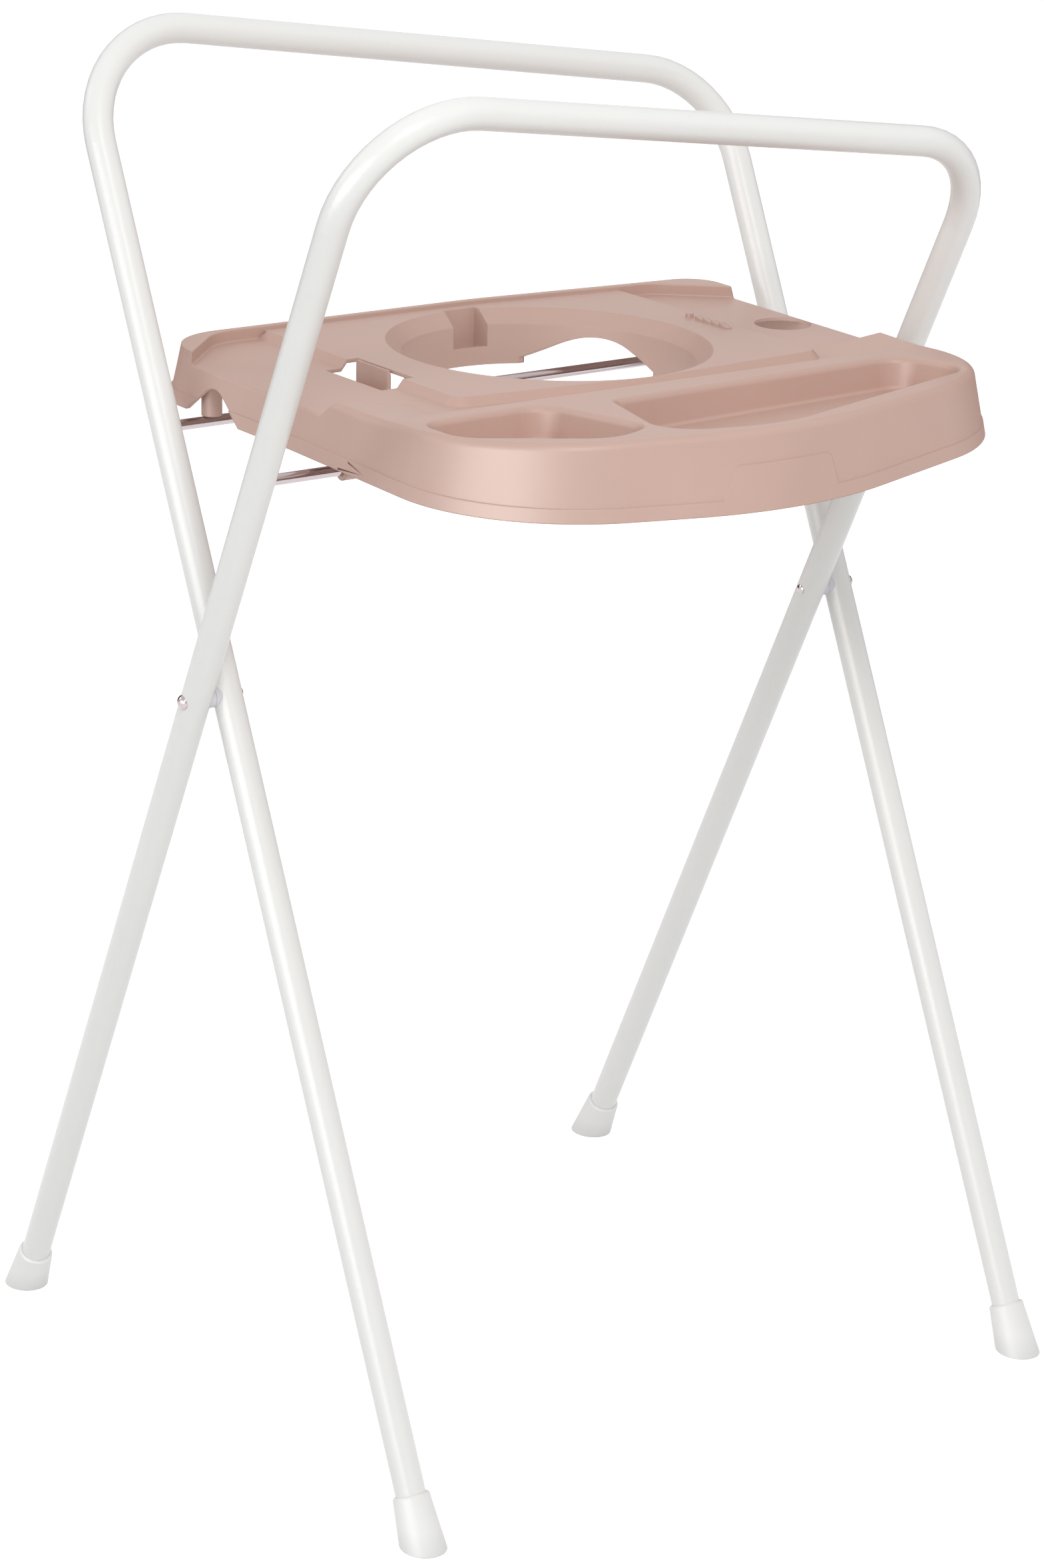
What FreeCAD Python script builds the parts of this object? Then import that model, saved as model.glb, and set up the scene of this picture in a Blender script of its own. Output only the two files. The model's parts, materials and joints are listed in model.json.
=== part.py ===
"""Folding stand for a baby bath: two crossed tube frames, two cross rods and a moulded top tray.

The stand is upright in its own frame: X runs along the handles, -Y is the front, Z is up and
the origin lies on the floor under the middle of the scissor pivots.  Lengths are millimetres.
"""

import FreeCAD, Part
import math
import os

import Sketcher

PARTS_FOLDER = "parts"
SNAP = 0.02
X_AXIS = FreeCAD.Vector(1, 0, 0)
Y_AXIS = FreeCAD.Vector(0, 1, 0)
Z_AXIS = FreeCAD.Vector(0, 0, 1)

# Every driving dimension: name, value, what it is.
SIZES = [
    ("tube_diameter", 22.0, "outside diameter of the frame tube"),
    ("tube_wall", 1.2, "wall of the frame tube"),
    ("lean_angle", 25.1, "lean of each frame from upright when the stand is open"),
    ("pivot_height", 556.0, "height of the scissor pivots above the floor"),
    ("leg_spacing", 560.0, "distance between the leg centres of one frame"),
    ("handle_height", 453.0, "middle of the handle above the pivot, along the frame"),
    ("handle_slope", 8.4, "fall of the handle towards +X"),
    ("bend_radius", 80.0, "centreline radius of the tube bends"),
    ("tube_end_gap", 9.0, "tube end above the floor, along the leg"),
    ("rod_diameter", 8.0, "diameter of the cross rods"),
    ("rod_height", 194.6, "cross rod above the pivot, along the leg"),
    ("rod_entry", 5.0, "length of rod inside each leg"),
    ("rod_chamfer", 0.6, "chamfer on the rod ends"),
    ("fit_clearance", 0.05, "radial clearance of pins, rods and caps in their holes"),
    ("rivet_diameter", 6.0, "shank of the pivot rivet"),
    ("rivet_head_diameter", 13.0, "head of the pivot rivet"),
    ("rivet_head_height", 3.4, "height of the rivet head"),
    ("rivet_tail_diameter", 11.0, "rolled tail of the rivet"),
    ("rivet_tail_height", 2.2, "height of the rolled tail"),
    ("rivet_dimple_diameter", 4.4, "dimple in both ends of the rivet"),
    ("rivet_dimple_depth", 2.6, "depth of that dimple"),
    ("rivet_play", 0.1, "gap under each end of the rivet"),
    ("washer_diameter", 15.0, "saddle washer between the crossed legs"),
    ("leg_gap", 4.0, "gap between the crossed legs, filled by two saddle washers"),
    ("washer_play", 0.2, "gap between the two saddle washers"),
    ("foot_height", 37.0, "foot cap along the leg"),
    ("foot_top_diameter", 26.5, "outside of the foot cap at its rim"),
    ("foot_base_diameter", 33.0, "outside of the foot cap at the floor"),
    ("foot_rim_chamfer", 1.2, "bevel round the rim of the foot cap"),
    ("tray_over_rod", 9.776, "bottom edge of the tray above the middle of the rods"),
    ("tray_wall", 2.5, "wall of the tray moulding"),
    ("tray_draft", 12.0, "draft of the tray's outer walls"),
    ("tray_back", 155.5, "back edge of the tray, at its bottom"),
    ("tray_left", 246.0, "left edge of the tray at the back corner"),
    ("tray_right", 254.2, "right edge of the tray at the back corner"),
    ("tray_waist_left", 247.0, "left edge of the tray where its side turns outward"),
    ("tray_waist_right", 246.5, "right edge of the tray where its side turns inward"),
    ("tray_waist_depth", 50.0, "that turn on the left, ahead of the pivot axis"),
    ("tray_waist_depth_right", 85.0, "that turn on the right, ahead of the pivot axis"),
    ("front_left_reach", 259.0, "front left corner before rounding, to the left"),
    ("front_left_depth", 296.0, "front left corner before rounding, to the front"),
    ("front_right_reach", 229.5, "front right corner before rounding, to the right"),
    ("front_right_depth", 270.5, "front right corner before rounding, to the front"),
    ("bow_offset", 39.0, "crown of the bowed front, left of the middle"),
    ("bow_depth", 359.5, "crown of the bowed front before rounding"),
    ("back_fall", 20.5, "fall of the back edge towards the right corner"),
    ("front_left_radius", 125.0, "front left corner"),
    ("front_right_radius", 150.0, "front right corner"),
    ("bow_radius", 275.0, "crown of the front"),
    ("back_left_radius", 60.0, "back left corner"),
    ("back_right_radius", 35.0, "back right corner"),
    ("waist_radius", 400.0, "slight turns of the sides and the back"),
    ("lip_height", 9.5, "lip round the bottom of the tray"),
    ("lip_proud", 0.8, "how far that lip stands out"),
    ("deck_edge_radius", 2.0, "rounding of the deck's outer edge"),
    ("rim_edge_radius", 1.0, "rounding of the back rim"),
    ("deck_height", 30.0, "deck above the tray's bottom edge"),
    ("rim_height", 39.0, "top of the back rim above the bottom edge"),
    ("rim_width", 6.5, "back rim at its foot"),
    ("rim_turn_left", 40.0, "turn of the rim's foot at the left"),
    ("rim_turn_right", 30.0, "turn of the rim's foot at the right"),
    ("rim_end_left", 190.0, "where the rim's foot turns forward, to the left"),
    ("rim_end_right", 196.0, "where the rim's foot turns forward, to the right"),
    ("block_height", 40.5, "back of the front block above the bottom edge"),
    ("block_tilt", 3.5, "rise of the block's top towards the front"),
    ("block_flat", 140.0, "where the block's top starts to rise, ahead of the pivot axis"),
    ("block_blend", 500.0, "soft turn where the block's top starts to rise"),
    ("block_crown", 57.0, "height of the blank from which the block is cut"),
    ("block_edge_radius", 5.5, "rounding of the block's outer edge"),
    ("step_depth", 87.0, "foot of the block's back slope, ahead of the pivot axis"),
    ("step_turn", 1.5, "turn of that slope, falling back towards the left"),
    ("step_slope", 50.0, "slope of the block's back from upright"),
    ("plateau_rise", 6.0, "plateau above the deck"),
    ("plateau_run", 5.0, "run of the plateau's sloped lip"),
    ("plateau_left", 148.0, "left edge of the plateau's top"),
    ("plateau_right", 167.0, "right edge of the plateau's top"),
    ("plateau_front", 122.0, "crown of the plateau's front edge, ahead of the pivot axis"),
    ("plateau_fall_left", 16.0, "how far that edge falls back towards the left corner"),
    ("plateau_fall_right", 10.0, "how far that edge falls back towards the right corner"),
    ("dish_gap", 3.0, "level floor of the dish ahead of the plateau's lip"),
    ("dish_ramp", 24.0, "soft ramp from the dish up to the block"),
    ("dish_over", 1.5, "how far the cut of the dish runs on above the block's flat top"),
    ("dish_side", 58.0, "soft ramps at both sides of the dish"),
    ("dish_edge", 15.0, "from the tray's side at the bottom to the top of those ramps"),
    ("plateau_radius", 9.0, "corners of the plateau"),
    ("opening_offset_x", 10.0, "middle of the bath opening, to the right"),
    ("opening_offset_y", 4.0, "middle of the bath opening, to the back"),
    ("opening_half_width", 117.0, "half width of the opening at the plateau"),
    ("opening_half_depth", 124.5, "half depth of the opening at the plateau"),
    ("opening_bevel_run", 12.0, "run of the opening's bevel"),
    ("opening_bevel_drop", 10.0, "drop of the opening's bevel"),
    ("collar_drop", 4.5, "collar below the tray's bottom edge"),
    ("channel_left", 4.0, "upright channel at the back of the collar, left side"),
    ("channel_width", 29.0, "width of that channel"),
    ("channel_depth", 132.0, "back wall of that channel behind the pivot axis"),
    ("arch_front", 68.5, "front foot of the collar's rod arch, ahead of the back rod"),
    ("arch_back", 22.5, "back foot of that arch, behind that rod"),
    ("arch_peak", 16.5, "peak of that arch before rounding, ahead of that rod"),
    ("arch_height", 26.0, "height of that peak above the tray's bottom edge"),
    ("arch_radius", 50.0, "rounding of that peak"),
    ("notch_front", 64.5, "front foot of the side wall's rod notch, ahead of the back rod"),
    ("notch_back", 5.5, "back foot of that notch, behind that rod"),
    ("notch_peak", 23.5, "peak of that notch before rounding, ahead of that rod"),
    ("notch_height", 24.0, "height of that peak above the tray's bottom edge"),
    ("notch_radius", 20.0, "rounding of that peak"),
    ("notch_cut", 9.0, "how far the notch cuts in from the side"),
    ("drain_diameter", 43.0, "hole for the drain hose"),
    ("drain_offset_x", 219.5, "drain hole to the right"),
    ("drain_offset_y", 8.6, "drain hole to the front"),
    ("pocket_floor", 20.0, "floor of the soap pockets above the bottom edge"),
    ("pocket_taper", 10.0, "draft of the pocket walls"),
    ("pocket_edge_radius", 5.0, "rounding of the pockets' mouths"),
    ("pocket_floor_radius", 3.0, "rounding round the pockets' floors"),
    ("long_pocket_front_wall", 36.5, "from the bow's crown to the long pocket"),
    ("long_pocket_left", 76.0, "long pocket, to the left of the crown"),
    ("long_pocket_right", 234.0, "long pocket, to the right of the crown"),
    ("long_pocket_back_right", 91.0, "right back corner of the long pocket, ahead of the step"),
    ("long_pocket_back_left", 105.0, "left back corner of the long pocket, ahead of the step"),
    ("long_pocket_slant_left", 38.0, "how far its left end leans in towards the back"),
    ("long_pocket_slant_right", 8.0, "how far its right end leans in towards the back"),
    ("small_pocket_wall", 26.0, "small pocket's left corner, right of the front left corner"),
    ("small_pocket_wall_back", 61.0, "that corner, behind the front left corner"),
    ("small_pocket_front", 101.0, "small pocket's front corner, right of the front left corner"),
    ("small_pocket_right", 142.0, "small pocket's right corner, right of the front left corner"),
    ("small_pocket_right_back", 18.0, "that corner, behind the front left corner"),
    ("small_pocket_back_right", 86.0, "right back corner of the small pocket, ahead of the step"),
    ("small_pocket_back_left", 91.0, "left back corner of the small pocket, ahead of the step"),
    ("small_pocket_slant", 7.0, "how far its sides lean in towards the back"),
    ("pocket_corner", 20.0, "back corners of the pockets"),
    ("pocket_front_corner", 30.0, "front corners of the pockets"),
    ("pocket_bow", 100.0, "crown of the long pocket's front"),
    ("pocket_nose", 12.0, "left back corner of the long pocket"),
    ("panel_height", 31.0, "top of the bare front panel above the bottom edge"),
    ("panel_left", 59.0, "left end of the panel at the lip, left of the crown"),
    ("panel_right", 36.0, "right end of the panel at the lip, right of the crown"),
    ("panel_slant_left", 12.0, "how far the panel's left end leans in"),
    ("panel_slant_right", 5.0, "how far the panel's right end leans in"),
    ("panel_corner", 6.0, "upper corners of the panel"),
    ("window_left", 166.0, "left edge of the clip's window"),
    ("window_right", 139.0, "right edge of the clip's window, in the plateau's edge"),
    ("window_front", 40.0, "front edge of the window, ahead of the pivot axis"),
    ("window_back", 31.0, "back edge of the window, behind the pivot axis"),
    ("clip_front", 14.0, "front edge of the clip, ahead of the pivot axis"),
    ("clip_back", 26.0, "back edge of the clip, behind the pivot axis"),
    ("clip_wall", 3.0, "thickness of the clip"),
    ("clip_gap", 1.5, "clip's tongue left of the window's right edge"),
    ("clip_foot", 13.0, "underside of the clip above the tray's bottom edge"),
    ("clip_hook", 4.0, "hook at the top of the tongue"),
    ("rack_left", 152.0, "left side of the toothed rack on the plateau"),
    ("rack_width", 5.0, "width of the rack"),
    ("rack_front", 25.0, "front end of the rack, ahead of the pivot axis"),
    ("rack_pitch", 9.6, "pitch of its teeth"),
    ("rack_height", 3.0, "height of its teeth"),
    ("rack_boss", 6.0, "round boss behind the rack"),
    ("slit_meet", 148.4, "where the two slits over the left jaw meet, ahead of the pivot axis"),
    ("slit_level", 3.4, "level of that point above the bottom edge"),
    ("slit_upper_run", 23.4, "run of the upper slit"),
    ("slit_upper_rise", 3.6, "rise of the upper slit"),
    ("slit_lower_run", 35.0, "run of the lower slit"),
    ("slit_width", 1.4, "width of both slits at their back ends"),
    ("slit_web", 3.0, "wall left between the slits where they meet"),
    ("post_offset", 229.0, "seat posts over the back rod, from the middle"),
    ("post_diameter", 15.0, "seat posts"),
    ("post_gap", 0.3, "gap between a seat post and the rod"),
    ("jaw_offset", 222.0, "hinge jaws on the front rod, from the middle"),
    ("jaw_width", 10.0, "hinge jaws along the rod"),
    ("jaw_diameter", 15.0, "outside of a hinge jaw"),
    ("jaw_mouth", 6.5, "mouth of a hinge jaw"),
]

doc = FreeCAD.newDocument("BabyBathStand")
sheet = doc.addObject("Spreadsheet::Sheet", "Sizes")
for row, (alias, value, meaning) in enumerate(SIZES, start=1):
    sheet.set("A%d" % row, alias)
    sheet.set("B%d" % row, "%g" % value)
    sheet.set("C%d" % row, meaning)
    sheet.setAlias("B%d" % row, alias)
doc.recompute()


def value_of(expression):
    """The number that an expression in the sheet's names comes to."""
    result = sheet.evalExpression(expression.replace("Sizes.", ""))
    return float(getattr(result, "Value", result))


def new_body(name):
    body = doc.addObject("PartDesign::Body", name)
    body.Label = name
    return body


def origin_plane(body, role):
    return next(item for item in body.Origin.OriginFeatures if item.Role == role)


def new_sketch(body, name, role="XY_Plane", level=None, turn=None):
    """A sketch on one of the body's origin planes, raised by level and turned about its own y."""
    sketch = body.newObject("Sketcher::SketchObject", name)
    sketch.AttachmentSupport = [(origin_plane(body, role), "")]
    sketch.MapMode = "FlatFace"
    if turn:
        sketch.AttachmentOffset = FreeCAD.Placement(FreeCAD.Vector(), FreeCAD.Rotation(Y_AXIS, 1))
        sketch.setExpression("AttachmentOffset.Rotation.Angle", turn)
    if level:
        sketch.setExpression("AttachmentOffset.Base.z", level)
    return sketch


def constrain(sketch, constraint, name, expression):
    """Add a dimension to a sketch and bind it to the sheet."""
    index = sketch.addConstraint(constraint)
    sketch.renameConstraint(index, name)
    sketch.setExpression("Constraints." + name, expression)


def draw_circle(sketch, name, x_place, y_place, diameter):
    centre = FreeCAD.Vector(value_of(x_place), value_of(y_place), 0)
    ring = sketch.addGeometry(Part.Circle(centre, Z_AXIS, value_of(diameter) / 2), False)
    if x_place == "0" and y_place == "0":
        sketch.addConstraint(Sketcher.Constraint("Coincident", ring, 3, -1, 1))
    else:
        constrain(sketch, Sketcher.Constraint("DistanceX", ring, 3, centre.x), name + "_x", x_place)
        constrain(sketch, Sketcher.Constraint("DistanceY", ring, 3, centre.y), name + "_y", y_place)
    bound = Sketcher.Constraint("Diameter", ring, value_of(diameter))
    constrain(sketch, bound, name + "_diameter", diameter)


def draw_ellipse(sketch, x_place, y_place, half_width, half_depth):
    """An upright ellipse whose long axis lies along the sketch's y."""
    x, y = value_of(x_place), value_of(y_place)
    wide, deep = value_of(half_width), value_of(half_depth)
    top, side = FreeCAD.Vector(x, y + deep, 0), FreeCAD.Vector(x + wide, y, 0)
    oval = sketch.addGeometry(Part.Ellipse(top, side, FreeCAD.Vector(x, y, 0)), False)
    sketch.exposeInternalGeometry(oval)
    long_axis, short_axis = oval + 1, oval + 2
    constrain(sketch, Sketcher.Constraint("DistanceX", oval, 3, x), "middle_x", x_place)
    constrain(sketch, Sketcher.Constraint("DistanceY", oval, 3, y), "middle_y", y_place)
    sketch.addConstraint(Sketcher.Constraint("Vertical", long_axis))
    constrain(sketch, Sketcher.Constraint("Distance", long_axis, 2 * deep), "depth",
              "2 * (%s)" % half_depth)
    constrain(sketch, Sketcher.Constraint("Distance", short_axis, 2 * wide), "width",
              "2 * (%s)" % half_width)


def crossing(point_a, way_a, point_b, way_b):
    """Where two lines in the plane cross."""
    spread = way_a.x * way_b.y - way_a.y * way_b.x
    across = point_b - point_a
    return point_a + way_a * ((across.x * way_b.y - across.y * way_b.x) / spread)


def draw_outline(sketch, corners, inset=None):
    """A closed outline of straight runs, anticlockwise, with each corner rounded tangentially.

    corners holds (x, y, radius) as expressions; radius is None at a sharp corner.  With inset,
    the outline runs parallel to the named one, that far inside it (outside where negative).
    """
    count = len(corners)
    gap = value_of(inset) if inset else 0.0
    named = [FreeCAD.Vector(value_of(x), value_of(y), 0) for x, y, _ in corners]
    ways = [(named[(i + 1) % count] - named[i]).normalize() for i in range(count)]
    starts = [named[i] + FreeCAD.Vector(-ways[i].y, ways[i].x, 0) * gap for i in range(count)]
    points = [crossing(starts[i - 1], ways[i - 1], starts[i], ways[i]) for i in range(count)]
    turns = [math.atan2(ways[i - 1].cross(ways[i]).z, ways[i - 1].dot(ways[i]))
             for i in range(count)]
    radii = []
    for (_, _, radius), turn in zip(corners, turns):
        radii.append(value_of(radius) - math.copysign(gap, turn) if radius else 0.0)
    trims = [radii[i] * math.tan(abs(turns[i]) / 2) for i in range(count)]

    guides = [sketch.addGeometry(Part.LineSegment(named[i], named[(i + 1) % count]), True)
              for i in range(count)]
    runs = []
    for i in range(count):
        after = (i + 1) % count
        start = points[i] + ways[i] * trims[i]
        end = points[after] - ways[i] * trims[after]
        runs.append(sketch.addGeometry(Part.LineSegment(start, end), False))
    for i, (x_place, y_place, radius) in enumerate(corners):
        tag = "corner%d" % i
        sketch.addConstraint(Sketcher.Constraint("Coincident", guides[i - 1], 2, guides[i], 1))
        for letter, place, part in (("X", x_place, named[i].x), ("Y", y_place, named[i].y)):
            constraint = Sketcher.Constraint("Distance" + letter, guides[i], 1, part)
            constrain(sketch, constraint, tag + "_" + letter.lower(), place)
        if inset:
            sketch.addConstraint(Sketcher.Constraint("Parallel", runs[i], guides[i]))
            constraint = Sketcher.Constraint("Distance", runs[i], 1, guides[i], abs(gap))
            constrain(sketch, constraint, "side%d_inset" % i, "abs(%s)" % inset)
        else:
            for end in (1, 2):
                sketch.addConstraint(Sketcher.Constraint("PointOnObject", guides[i], end, runs[i]))
        if not radius:
            sketch.addConstraint(Sketcher.Constraint("Coincident", runs[i - 1], 2, runs[i], 1))
            continue
        left_turn = turns[i] > 0
        side = 1.0 if left_turn else -1.0
        before, after = points[i] - ways[i - 1] * trims[i], points[i] + ways[i] * trims[i]
        normal = FreeCAD.Vector(-ways[i - 1].y, ways[i - 1].x, 0) * side
        centre = before + normal * radii[i]
        first, last = (before, after) if left_turn else (after, before)
        angles = [math.atan2(end.y - centre.y, end.x - centre.x) for end in (first, last)]
        circle = Part.Circle(centre, Z_AXIS, radii[i])
        arc = sketch.addGeometry(Part.ArcOfCircle(circle, angles[0], angles[1]), False)
        first_end, last_end = (1, 2) if left_turn else (2, 1)
        joint_in = Sketcher.Constraint("Tangent", runs[i - 1], 2, arc, first_end)
        joint_out = Sketcher.Constraint("Tangent", arc, last_end, runs[i], 1)
        sketch.addConstraint(joint_in)
        sketch.addConstraint(joint_out)
        change = "" if not inset else (" - (%s)" if left_turn else " + (%s)") % inset
        constraint = Sketcher.Constraint("Radius", arc, radii[i])
        constrain(sketch, constraint, tag + "_radius", radius + change)


def rectangle(left, front, right, back):
    return [(left, front, None), (right, front, None), (right, back, None), (left, back, None)]


def pad(body, sketch, length, taper=None):
    feature = body.newObject("PartDesign::Pad", sketch.Name + "Pad")
    feature.Profile = sketch
    feature.setExpression("Length", length)
    if taper:
        feature.setExpression("TaperAngle", taper)
    sketch.Visibility = False
    return feature


def pocket(body, sketch, length, upward=False, both=False):
    feature = body.newObject("PartDesign::Pocket", sketch.Name + "Pocket")
    feature.Profile = sketch
    feature.setExpression("Length", length)
    feature.Reversed = upward
    feature.Midplane = both
    sketch.Visibility = False
    return feature


def place(body, x="0", y="0", z="0", lean=None):
    """Put a finished body in the stand, leant about X where it belongs to a frame."""
    if lean:
        body.Placement = FreeCAD.Placement(FreeCAD.Vector(), FreeCAD.Rotation(X_AXIS, 1))
        body.setExpression("Placement.Rotation.Angle", lean)
    for letter, expression in (("x", x), ("y", y), ("z", z)):
        if expression != "0":
            body.setExpression("Placement.Base." + letter, expression)


# ---------------------------------------------------------------- the two frames
FRAME_OFFSET = "(Sizes.tube_diameter + Sizes.leg_gap) / 2"
LEG_LENGTH = "Sizes.pivot_height / cos(Sizes.lean_angle * 1deg)"
HALF_SPACING = "Sizes.leg_spacing / 2"
FRAMES = {"front": ("-(%s)" % FRAME_OFFSET, "Sizes.lean_angle"),
          "back": (FRAME_OFFSET, "-Sizes.lean_angle")}


def make_frame_tube(side):
    """One bent tube: two legs and a sloping handle, with holes for the rod and the rivets."""
    body = new_body(side + "_frame_tube")
    spine = new_sketch(body, side + "Spine", "XZ_Plane")
    half = value_of(HALF_SPACING)
    foot = value_of("Sizes.tube_end_gap - (%s)" % LEG_LENGTH)
    slope = math.radians(value_of("Sizes.handle_slope"))
    middle = value_of("Sizes.handle_height")
    bend = value_of("Sizes.bend_radius")
    corner_height = [middle + half * math.tan(slope), middle - half * math.tan(slope)]
    along = FreeCAD.Vector(math.cos(slope), -math.sin(slope), 0)
    trims = [bend * math.tan((math.pi / 2 + slope) / 2), bend * math.tan((math.pi / 2 - slope) / 2)]
    left_top = FreeCAD.Vector(-half, corner_height[0] - trims[0], 0)
    right_top = FreeCAD.Vector(half, corner_height[1] - trims[1], 0)
    bar_start = FreeCAD.Vector(-half, corner_height[0], 0) + along * trims[0]
    bar_end = FreeCAD.Vector(half, corner_height[1], 0) - along * trims[1]
    left_leg = Part.LineSegment(FreeCAD.Vector(-half, foot, 0), left_top)
    bar = Part.LineSegment(bar_start, bar_end)
    right_leg = Part.LineSegment(right_top, FreeCAD.Vector(half, foot, 0))
    left_circle = Part.Circle(left_top + FreeCAD.Vector(bend, 0, 0), Z_AXIS, bend)
    left_bend = Part.ArcOfCircle(left_circle, math.pi / 2 - slope, math.pi)
    right_circle = Part.Circle(right_top - FreeCAD.Vector(bend, 0, 0), Z_AXIS, bend)
    right_bend = Part.ArcOfCircle(right_circle, 0, math.pi / 2 - slope)
    for curve in (left_leg, left_bend, bar, right_bend, right_leg):
        spine.addGeometry(curve, False)
    for first, first_end, second, second_end in ((0, 2, 1, 2), (1, 1, 2, 1), (2, 2, 3, 2), (3, 1, 4, 1)):
        joint = Sketcher.Constraint("Tangent", first, first_end, second, second_end)
        spine.addConstraint(joint)
    spine.addConstraint(Sketcher.Constraint("Vertical", 0))
    spine.addConstraint(Sketcher.Constraint("Vertical", 4))
    middle_point = spine.addGeometry(Part.Point(FreeCAD.Vector(0, middle, 0)), True)
    spine.addConstraint(Sketcher.Constraint("PointOnObject", middle_point, 1, -2))
    spine.addConstraint(Sketcher.Constraint("PointOnObject", middle_point, 1, 2))
    foot_place = "Sizes.tube_end_gap - (%s)" % LEG_LENGTH
    dimensions = [
        (("DistanceX", 0, 1, -half), "left_leg", "-(%s)" % HALF_SPACING),
        (("DistanceX", 4, 2, half), "right_leg", HALF_SPACING),
        (("DistanceY", 0, 1, foot), "left_foot", foot_place),
        (("DistanceY", 4, 2, foot), "right_foot", foot_place),
        (("Radius", 1, bend), "left_bend", "Sizes.bend_radius"),
        (("Radius", 3, bend), "right_bend", "Sizes.bend_radius"),
        (("DistanceY", middle_point, 1, middle), "handle", "Sizes.handle_height"),
        (("Angle", 2, -slope), "slope", "-Sizes.handle_slope"),
    ]
    for arguments, name, expression in dimensions:
        constrain(spine, Sketcher.Constraint(*arguments), name, expression)
    section = new_sketch(body, side + "Section", "XY_Plane", level=foot_place)
    draw_circle(section, "outside", "-(%s)" % HALF_SPACING, "0 * 1", "Sizes.tube_diameter")
    draw_circle(section, "bore", "-(%s)" % HALF_SPACING, "0 * 1",
                "Sizes.tube_diameter - 2 * Sizes.tube_wall")
    tube = body.newObject("PartDesign::AdditivePipe", side + "Tube")
    tube.Profile = section
    tube.Spine = (spine, [])
    tube.Mode = "Frenet"
    doc.recompute()

    pivot = new_sketch(body, side + "PivotHole", "YZ_Plane")
    draw_circle(pivot, "pivot", "0", "0", "Sizes.rivet_diameter + 2 * Sizes.fit_clearance")
    pocket(body, pivot, "Sizes.leg_spacing + 4 * Sizes.tube_diameter", both=True)
    rod = new_sketch(body, side + "RodHole", "YZ_Plane")
    draw_circle(rod, "rod", "0 * 1", "Sizes.rod_height",
                "Sizes.rod_diameter + 2 * Sizes.fit_clearance")
    pocket(body, rod, "Sizes.leg_spacing", both=True)
    x_place, lean = FRAMES[side]
    place(body, x=x_place, z="Sizes.pivot_height", lean=lean)
    return body


def make_cross_rod(side):
    """The steel rod between the legs of one frame."""
    body = new_body(side + "_cross_rod")
    section = new_sketch(body, side + "RodSection", "YZ_Plane")
    draw_circle(section, "rod", "0", "0", "Sizes.rod_diameter")
    rod = pad(body, section, "Sizes.leg_spacing - Sizes.tube_diameter + 2 * Sizes.rod_entry")
    rod.Midplane = True
    doc.recompute()
    ends = body.newObject("PartDesign::Chamfer", side + "RodEnds")
    rims = ["Edge%d" % (i + 1) for i, edge in enumerate(rod.Shape.Edges)
            if isinstance(edge.Curve, Part.Circle)]
    ends.Base = (rod, rims)
    ends.setExpression("Size", "Sizes.rod_chamfer")
    x_place, lean = FRAMES[side]
    sign = "-" if side == "front" else ""
    place(body, x=x_place, lean=lean,
          y="%sSizes.rod_height * sin(Sizes.lean_angle * 1deg)" % sign,
          z="Sizes.pivot_height + Sizes.rod_height * cos(Sizes.lean_angle * 1deg)")
    return body


def make_foot_cap(frame_side, hand):
    """A flared plastic cap with a socket for the leg, cut level with the floor."""
    position = "back" if frame_side == "front" else "front"
    name = "%s_%s_foot_cap" % (position, hand)
    body = new_body(name)
    profile = new_sketch(body, name + "Profile", "XZ_Plane")
    flare = "((Sizes.foot_base_diameter - Sizes.foot_top_diameter) / 2 / Sizes.foot_height)"
    skirt = "Sizes.foot_base_diameter / 2"
    bore = "(Sizes.tube_diameter / 2 + Sizes.fit_clearance)"
    corners = [
        ("0 * 1", "-%s" % skirt, None),
        ("%s + %s * %s" % (skirt, skirt, flare), "-%s" % skirt, None),
        ("Sizes.foot_top_diameter / 2 + Sizes.foot_rim_chamfer * %s" % flare,
         "Sizes.foot_height - Sizes.foot_rim_chamfer", None),
        ("Sizes.foot_top_diameter / 2 - Sizes.foot_rim_chamfer", "Sizes.foot_height", None),
        (bore, "Sizes.foot_height", None),
        (bore, "Sizes.tube_end_gap", None),
        ("0 * 1", "Sizes.tube_end_gap", None),
    ]
    draw_outline(profile, corners)
    cap = body.newObject("PartDesign::Revolution", name + "Turned")
    cap.Profile = profile
    cap.ReferenceAxis = (profile, ["V_Axis"])
    cap.Angle = 360
    profile.Visibility = False
    doc.recompute()
    x_place, lean = FRAMES[frame_side]
    floor = body.newObject("Sketcher::SketchObject", name + "Floor")
    floor.AttachmentSupport = [(origin_plane(body, "XY_Plane"), "")]
    floor.MapMode = "FlatFace"
    floor.AttachmentOffset = FreeCAD.Placement(FreeCAD.Vector(), FreeCAD.Rotation(X_AXIS, 1))
    floor.setExpression("AttachmentOffset.Rotation.Angle", "-(%s)" % lean)
    draw_circle(floor, "floor", "0", "0", "4 * Sizes.foot_base_diameter")
    pocket(body, floor, "2 * Sizes.foot_base_diameter")
    sign = "-" if hand == "left" else "+"
    sway = "" if frame_side == "front" else "-"
    place(body, x="%s %s %s" % (x_place, sign, HALF_SPACING), lean=lean,
          y="%sSizes.pivot_height * tan(Sizes.lean_angle * 1deg)" % sway)
    return body


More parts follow.
